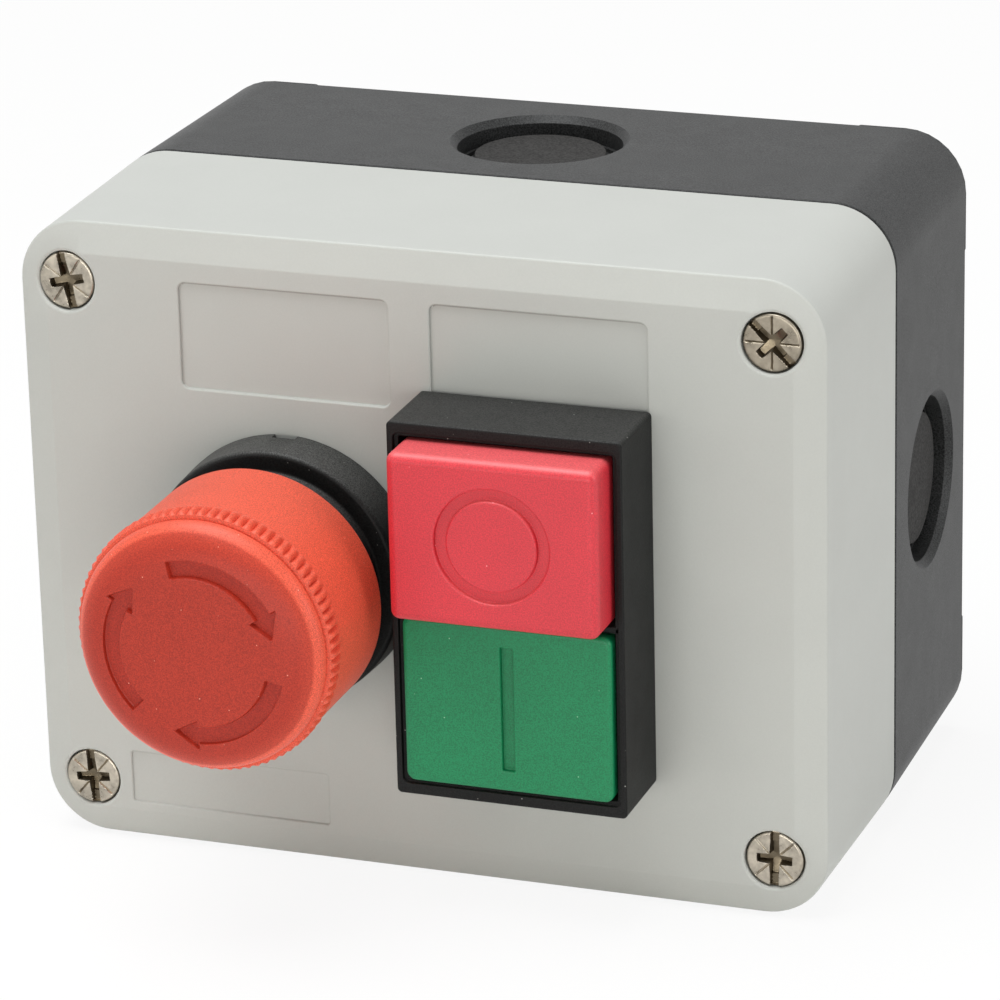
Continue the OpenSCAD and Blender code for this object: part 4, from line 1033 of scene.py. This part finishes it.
edge_depth = -cap_front + dome_height
steep = flat_radius + (dome_radius - flat_radius) * np.sin(np.linspace(0.65, np.pi / 2, 10))
face_radii = np.concatenate([np.linspace(0, dense_from - 0.3, 5),
                             np.linspace(dense_from, dense_to, 54), steep[steep > dense_to + 0.1]])
face_path = np.stack([face_radii, dome_depth(face_radii)], 1)
knurl_rows = np.array([0, 0.06, 0.16, 0.3, 0.5, 0.62, 0.74, 0.84, 0.92, 1.0])
groove_path = [(dome_radius - groove_sink, edge_depth + lead) for lead in (groove_lead, groove)]
skirt_path = np.concatenate([
    groove_path,
    np.stack([np.full(len(knurl_rows), cap_radius),
              edge_depth + groove + groove_lip + knurl_rows * knurl_length], 1),
    rounded_path([(cap_radius, edge_depth + grip_length, 0), (cap_radius, -cap_back, 0.45),
                  (hollow_radius, -cap_back, 0.3), (hollow_radius, -hollow_middle, 0)]),
    [(hollow_radius, hollow_chamfer - hollow_front), (hollow_radius - hollow_chamfer, -hollow_front),
     (boss_radius, -hollow_front), (boss_radius, -boss_end), (stem_radius, -boss_end),
     (stem_radius, -stem_seat), (0, -stem_seat)]])
columns = knurl_count * 8
angles = np.arange(columns) * 2 * np.pi / columns
head_rings = turned(np.concatenate([face_path, skirt_path]), stop_axis, angles)

ridge = np.abs(np.cos(knurl_count / 2 * angles))
swell = ease(knurl_rows / knurl_rise) * (1 - ease((knurl_rows - knurl_full) / (1 - knurl_full)))
lift = swell[:, None] * ((knurl_height + knurl_valley) * ridge - knurl_valley)
knurl_start = len(face_path) + len(groove_path)
rows = slice(knurl_start, knurl_start + len(knurl_rows))
head_rings[rows, :, 0] += lift * np.cos(angles)
head_rings[rows, :, 2] += lift * np.sin(angles)

rows = slice(0, len(face_path))
sunk = ease(deepest_inside(x_z(head_rings[rows]) - stop_axis, arrows) / wall_width + 0.5)
surface_y = head_rings[rows, :, 1]
floor_y = np.maximum(surface_y, panel_y - cap_front + arrow_depth)
head_rings[rows, :, 1] = surface_y + sunk * (floor_y - surface_y)

# Shares of painted shade on the face, in its middle and on the arrows' floors, and where it lies
face_shade, middle_shade, floor_shade = 0.5, 0.22, 0.06
shade_depth, shade_start, shade_fade = 1.6, 15.5, 2.5


def face_painted_shade(points, _):
    """Painted shade: the face is darker than the skirt, more so towards its middle, and the arrows'
    floors more so.
    """
    flat = x_z(points) - stop_axis
    on_face = points[:, 1] - panel_y < shade_depth - cap_front
    middle = ease((shade_start - np.linalg.norm(flat, axis=1)) / shade_fade)
    tone = (face_shade + middle_shade * middle) * on_face
    tone[on_face] += floor_shade * ease(deepest_inside(flat[on_face], arrows) / wall_width + 0.5)
    return tone


# The head's face gets painted shade through its tone
make_piece("stop_head_mushroom", [skin(head_rings)], head_finish, body="estop_head",
           stands_for=["estop_mushroom"], tone=face_painted_shade)

# %% [markdown]
# ## Twin head
#
# A deep rectangular frame holds both buttons. Its opening has a thin step round the rim. Further in,
# an undercut gives room to the lips that keep the buttons from falling out. The springs stand on the
# floor, and the barrel's bore behind it lets the buttons' legs reach the contact blocks.

# %% The frame
frame_low, frame_high = limits("duo_frame")
frame_width, frame_height = x_z(frame_high - frame_low)
frame_front = panel_y - frame_low[1]
frame_radius, frame_edge, frame_floor, frame_bore = 0.6, 0.22, 1.6, 9.4
opening, opening_radius = np.array([27.1, 44.6]), 0.75
step_width, step_depth = 0.55, 0.6
step_at = step_depth - frame_front
lip_width, lip_thickness, under_lip = 0.5, 1.5, 7.1
undercut = step_width - lip_width
bar_height, bar_play, bar_root = 0.8, 0.2, 0.3
# How far the outer skin runs in over the back and the front, and the opening's skin over the front
back_overlap, front_overlap, rim_overlap = 2, 0.5, 0.25

outer = carry(shrunk(frame_width, frame_height, frame_radius), rounded_path(
    [(back_overlap, 0, 0), (0, 0, 0.1), (0, -frame_front, frame_edge),
     (front_overlap, -frame_front, 0)]), twin_axis)
hollow = carry(shrunk(*(opening + 2 * step_width), opening_radius), rounded_path(
    [(-rim_overlap, -frame_front, 0), (0, -frame_front, 0.12), (0, step_at, 0.1),
     (step_width, step_at, 0.12), (step_width, -under_lip, 0.1), (undercut, -under_lip, 0.1),
     (undercut, -frame_floor, 0)], 3, SHORT_HOLD), twin_axis)
barrel = turned(rounded_path([(frame_bore, -frame_floor, 0), (frame_bore, barrel_end, 0.3),
                              (barrel_radius, barrel_end, 0.4), (barrel_radius, 0, 0)]), twin_axis)
bar = carry(shrunk(opening[0] + 2 * lip_width + bar_play, bar_height, 0.2, 3), rounded_path(
    [(0, bar_root - frame_floor, 0), (0, step_at, 0.15), (0.3, step_at, 0)], 3, 0), twin_axis)
frame_shells = [skin(outer), skin(hollow), skin(barrel),
                flat_face(0, x_z(outer[0]), [x_z(barrel[-1])]),
                flat_face(-frame_floor, x_z(hollow[-1]), [x_z(barrel[0])]),
                flat_face(-frame_front, x_z(outer[-1]), [x_z(hollow[0])]), *closed_solid(bar)]
# The frame is lighter where it faces up: painted light
make_piece("twin_head_frame", frame_shells, black_finish, stands_for=["duo_frame"],
           tone=upward_painted_light(0.3))

# %% [markdown]
# Both buttons are hollow blocks with generous radii. Each has a lip round its back, a leg for its
# contact block and a stud that holds its spring.

# %% The buttons' hollow blocks
button_width, button_height, button_back, button_radius = 26.6, 21.4, 5.4, 1.2
button_gap = 1.3
button_middle = (button_gap + button_height) / 2
button_wall, face_thickness, lip_root, lip_play = 1.4, 2.2, 1.3, 0.05
floor_border, face_border = 2.2, 1.6
leg_size, leg_place, leg_end = (3.8, 3.2), np.array([5.2, 2.6]), 9.4
stud_radius, stud_length, stud_offset = 1.8, 2.0, 1.8
# Legs and studs are rooted this deep in the face, and their ends have a chamfer of the same size
root = 0.2


def button_shells(front, side, edge, mark_outline, grown=0):
    """A button's hollow block, lip, leg and spring stud: all its shells but for its mark's.

    `side` is 1 for the upper button and -1 for the lower one, which is its mirror image. `grown` is
    added to the block's width and height.
    """
    centre = twin_axis + (0, side * button_middle)
    hollow_floor = face_thickness - front
    path = rounded_path([(floor_border, hollow_floor, 0), (button_wall, hollow_floor, 0.3),
                         (button_wall, -button_back, 0.1), (0, -button_back, 0.2), (0, -front, edge),
                         (face_border, -front, 0)], 6)
    rings = carry(shrunk(button_width + grown, button_height + grown, button_radius, 8), path, centre)
    lip_front, lip_back = -button_back - lip_thickness, -button_back - lip_play
    lip_rings = carry(shrunk(button_width + 2 * lip_width, button_height + lip_width, button_radius, 8),
                      [(0, lip_front), (0, lip_back), (lip_root, lip_back), (lip_root, lip_front),
                       (0, lip_front)], centre + (0, side * lip_width / 2))
    leg = carry(shrunk(*leg_size, 0.3, 3), [(0, hollow_floor - root), (0, leg_end - root),
                                            (root, leg_end)], twin_axis + side * leg_place * (-1, 1))
    stud_end = hollow_floor + stud_length
    stud = turned([(stud_radius, hollow_floor - root), (stud_radius, stud_end - root),
                   (stud_radius - root, stud_end)], centre + (0, side * stud_offset), count=48)
    return [skin(rings), lid(rings[0]), flat_face(-front, x_z(rings[-1]), [mark_outline]),
            skin(lip_rings), *closed_solid(leg), *closed_solid(stud)]


# %% [markdown]
# The marks are sunk into the faces: a ring for stop and a bar for start. They are the usual signs for
# off and on, so they belong to the real thing. Each mark's lip is a hole in the face of its button.

# %% The marks and the finished buttons
mark_width, mark_depth, mark_border = 1.5, 0.7, 0.4
ring_outer, ring_edge = 7.3, 0.28
bar_width, bar_length, bar_edge = 1.6, 16.2, 0.22
stop_front = panel_y - limits("stop_button")[0][1]
start_front = panel_y - limits("start_button")[0][1]


def bar_floor_shade(points, _):
    """A little painted shade on the floor of the bar, and none on the face or behind the floor."""
    share, reach = 0.25, 0.1
    return share * (np.abs(points[:, 1] - panel_y + start_front - mark_depth) < reach)


ring_inner, ring_floor = ring_outer - mark_width, mark_depth - stop_front
ring_path = rounded_path([(ring_outer + mark_border, -stop_front, 0),
                          (ring_outer, -stop_front, ring_edge),
                          (ring_outer, ring_floor, 0.15), (ring_inner, ring_floor, 0.15),
                          (ring_inner, -stop_front, ring_edge),
                          (ring_inner - mark_border, -stop_front, 0)], 4, SHORT_HOLD)
ring_rings = turned(ring_path, twin_axis + (0, button_middle))
# The stop button is lighter where it faces up: painted light
make_piece("stop_button_cap", button_shells(stop_front, 1, 1.1, x_z(ring_rings[0]))
           + [skin(ring_rings), lid(ring_rings[-1])], stop_finish, body="stop_key",
           stands_for=["stop_button"], tone=upward_painted_light(0.9))

bar_floor = mark_depth - start_front
bar_path = rounded_path([(-mark_border, -start_front, 0), (0, -start_front, bar_edge),
                         (0.03, bar_floor, 0.1), (mark_border, bar_floor, 0)], 4, SHORT_HOLD)
bar_rings = carry(shrunk(bar_width, bar_length, 0.15, 3), bar_path, twin_axis - (0, button_middle))
# The bar's floor gets painted shade through the button's tone
make_piece("start_button_cap", button_shells(start_front, -1, 0.6, x_z(bar_rings[0]), 0.2)
           + [skin(bar_rings), lid(bar_rings[-1])], start_finish, body="start_key",
           stands_for=["start_button"], tone=bar_floor_shade)

# %% [markdown]
# ## Springs
#
# Each spring is a wire that follows a helix, with its end coils closed up. The tube's rings lie
# across the wire. A spring gets shorter as its button is pushed; here it is carried by the box
# instead of riding along, and it stops a hair short of the button.

# %% Wound springs
spring_gap = 0.03
end_turns = 0.8
points_a_turn, points_round_wire = 28, 10


def wound_spring(name, node_name, wire, turns):
    """A helix of round wire that fills its CAD node's box, but for a hair under the button.

    The middle line is (radius cos t, rise(t), radius sin t). Each ring of the tube is the middle line
    plus wire / 2 times (cos s outward, sin s along the axis). The end turns rise as slowly as the
    wire is thick.
    """
    low, high = limits(node_name)
    low[1] += spring_gap
    centre = x_z(low + high) / 2
    radius = (high - low)[0] / 2 - wire / 2
    length = high[1] - low[1]
    share = np.linspace(0, 1, int(turns * points_a_turn))
    closed = end_turns / turns
    rise = np.interp(share, [0, closed, 1 - closed, 1],
                     [0, end_turns * wire, length - (1 + end_turns) * wire, length - wire])
    t = share * turns * 2 * np.pi
    s = np.linspace(0, 2 * np.pi, points_round_wire, endpoint=False)
    out = radius + wire / 2 * np.cos(s)
    rings = np.stack([centre[0] + out * np.cos(t)[:, None],
                      low[1] + wire / 2 + rise[:, None] + wire / 2 * np.sin(s) + 0 * t[:, None],
                      centre[1] + out * np.sin(t)[:, None]], -1)
    spring = make_piece(name, closed_solid(rings), steel_finish, stands_for=[node_name])
    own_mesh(spring)


wound_spring("stop_head_spring", "estop_return_spring", 0.9, 5)
wound_spring("stop_button_spring", "stop_return_spring", 0.6, 7)
wound_spring("start_button_spring", "start_return_spring", 0.6, 5)
for key in ("estop", "stop", "start"):
    wound_spring(f"{key}_contact_spring", f"{key}_block_spring", 0.45, 4)

# %% [markdown]
# ## Inner pieces
#
# The contact blocks, nuts, holders and seals keep their CAD shapes and only need their finishes. The
# first of the words below that is in a node's name gives its finish. The outer solids, which the
# moulded pieces stand for, get theirs by their whole names.

# %% Finishes for the inner pieces
finish_by_word = [("gasket", rubber_finish), ("seal", rubber_finish), ("bridge", copper_finish),
                  ("contacts", copper_finish), ("terminal", steel_finish), ("spring", steel_finish),
                  ("estop_block_plunger", red_finish), ("stop_block_plunger", red_finish),
                  ("start_block_plunger", green_finish), ("ring_nut", black_finish),
                  ("block_holder", black_finish), ("stem", natural_finish),
                  ("sleeve", natural_finish), ("housing", natural_finish), ("plate", natural_finish)]
whole_nodes = {"cover": cover_finish, "base": base_finish, "cover_screws": nickel_finish,
               "estop_collar": black_finish, "duo_frame": black_finish,
               "estop_mushroom": head_finish, "stop_button": stop_finish,
               "start_button": start_finish}
for name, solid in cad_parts.items():
    finish = whole_nodes.get(name) or next(f for word, f in finish_by_word if word in name)
    solid.data.materials.clear()
    solid.data.materials.append(finish)
print("finished nodes:", len(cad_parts))

# %% [markdown]
# ## Studio
#
# The photograph is a cut-out on white with a faint shadow. The floor shows white to the camera but
# still takes the object's shadow: a share of its colour is light of its own, and only camera and
# mirror rays see that share. The world does the same, so it lights the object softly from all sides.

# %% Floor and world
floor_z = cad_box[0].z
floor_half = 4.0
# The floor's share of light of its own where it is seen, and the world's light on the object
own_light, room_light = 0.9, 0.15


def seen_directly(tree):
    """1 for rays from the camera and for mirror rays, 0 for rays that light the object."""
    path = node(tree, "ShaderNodeLightPath")
    return maths(tree, "MAXIMUM", path.outputs["Is Camera Ray"], path.outputs["Is Glossy Ray"])


floor_mesh = bpy.data.meshes.new("studio_floor")
floor_mesh.from_pydata([(-floor_half, -floor_half, floor_z), (floor_half, -floor_half, floor_z),
                        (floor_half, floor_half, floor_z), (-floor_half, floor_half, floor_z)], [],
                       [(0, 1, 2, 3)])
floor = bpy.data.objects.new("studio_floor", floor_mesh)
bpy.context.scene.collection.objects.link(floor)

paper = bpy.data.materials.new("white_paper")
paper.use_nodes = True
tree = paper.node_tree
tree.nodes.clear()
matt = node(tree, "ShaderNodeBsdfDiffuse", Color=(0.9, 0.89, 0.87, 1))
glow = node(tree, "ShaderNodeEmission", Color=(1, 1, 1, 1), Strength=1.0)
share = spread(tree, seen_directly(tree), 0, 1, 0, own_light)
mixed = node(tree, "ShaderNodeMixShader")
for socket, value in zip(mixed.inputs, (share, matt.outputs[0], glow.outputs[0])):
    feed(tree, socket, value)
node(tree, "ShaderNodeOutputMaterial", Surface=mixed.outputs[0])
floor_mesh.materials.append(paper)

world = bpy.data.worlds.new("studio")
bpy.context.scene.world = world
world.use_nodes = True
tree = world.node_tree
room = tree.nodes["Background"]
room.inputs["Color"].default_value = (1, 1, 1, 1)
feed(tree, room.inputs["Strength"], spread(tree, seen_directly(tree), 0, 1, room_light, 1.0))

# %% [markdown]
# One broad soft lamp stands above the object and a little in front of it. Weaker ones light its right
# side and fill the shadows from the left and from in front, low and high. All of them are nearly
# neutral, so the colours render about as they are written.

# %% Lamps


def softbox(name, place, target, size, power, colour=(1, 1, 1)):
    """A rectangular area lamp that faces a target."""
    lamp = bpy.data.lights.new(name, "AREA")
    lamp.shape = "RECTANGLE"
    lamp.size, lamp.size_y = size
    lamp.energy = power
    lamp.color = colour
    held = bpy.data.objects.new(name, lamp)
    bpy.context.scene.collection.objects.link(held)
    held.location = place
    held.rotation_euler = (Vector(target) - Vector(place)).to_track_quat("-Z", "Y").to_euler()


softbox("top_softbox", (-0.15, -0.16, 1.0), (0, -0.05, 0), (0.8, 0.7), 11.5, (0.97, 0.99, 1.0))
softbox("front_left_softbox", (-0.9, -0.9, 0.35), (0, -0.05, 0), (0.6, 0.6), 1.1, (1, 0.97, 0.91))
softbox("right_softbox", (1.0, -0.14, 0.32), (0, -0.03, 0), (0.5, 0.7), 3.7, (0.99, 1.0, 1.0))
softbox("low_front_softbox", (0.1, -1.0, 0.02), (0, -0.05, -0.02), (0.9, 0.2), 3.6, (1, 0.995, 0.955))
softbox("high_front_softbox", (0.0, -0.8, 0.7), (0, -0.05, 0), (0.8, 0.5), 0.4)

# %% [markdown]
# ## Camera
#
# The camera's place and lens come from the box's straight edges and its four screws in the
# photograph: a long lens, about 20 degrees to the right of the box and 20 degrees above it, and held
# a little out of level.

# %% Camera
camera_place = Vector((215.15, -628.55, 230.4)) * MM
camera_target = Vector((9.665, -66.7, 11.297)) * MM
camera_roll = math.radians(-1.437)
lens = bpy.data.cameras.new("photo_camera")
lens.lens, lens.sensor_width = 187.5, 36.0
lens.shift_x, lens.shift_y = 0.0108, -0.0087
camera = bpy.data.objects.new("photo_camera", lens)
bpy.context.scene.collection.objects.link(camera)
facing = (camera_target - camera_place).to_track_quat("-Z", "Y").to_matrix()
camera.matrix_world = Matrix.Translation(camera_place) @ (
    facing @ Matrix.Rotation(camera_roll, 3, "Z")).to_4x4()
bpy.context.scene.camera = camera
bpy.context.scene.view_settings.view_transform = "Standard"
print("camera at", tuple(round(v, 3) for v in camera_place))

# %% [markdown]
# The CAD's box is printed, in metres.

# %% Size of the CAD
print("cad", [tuple(round(v, 4) for v in c) for c in cad_box])
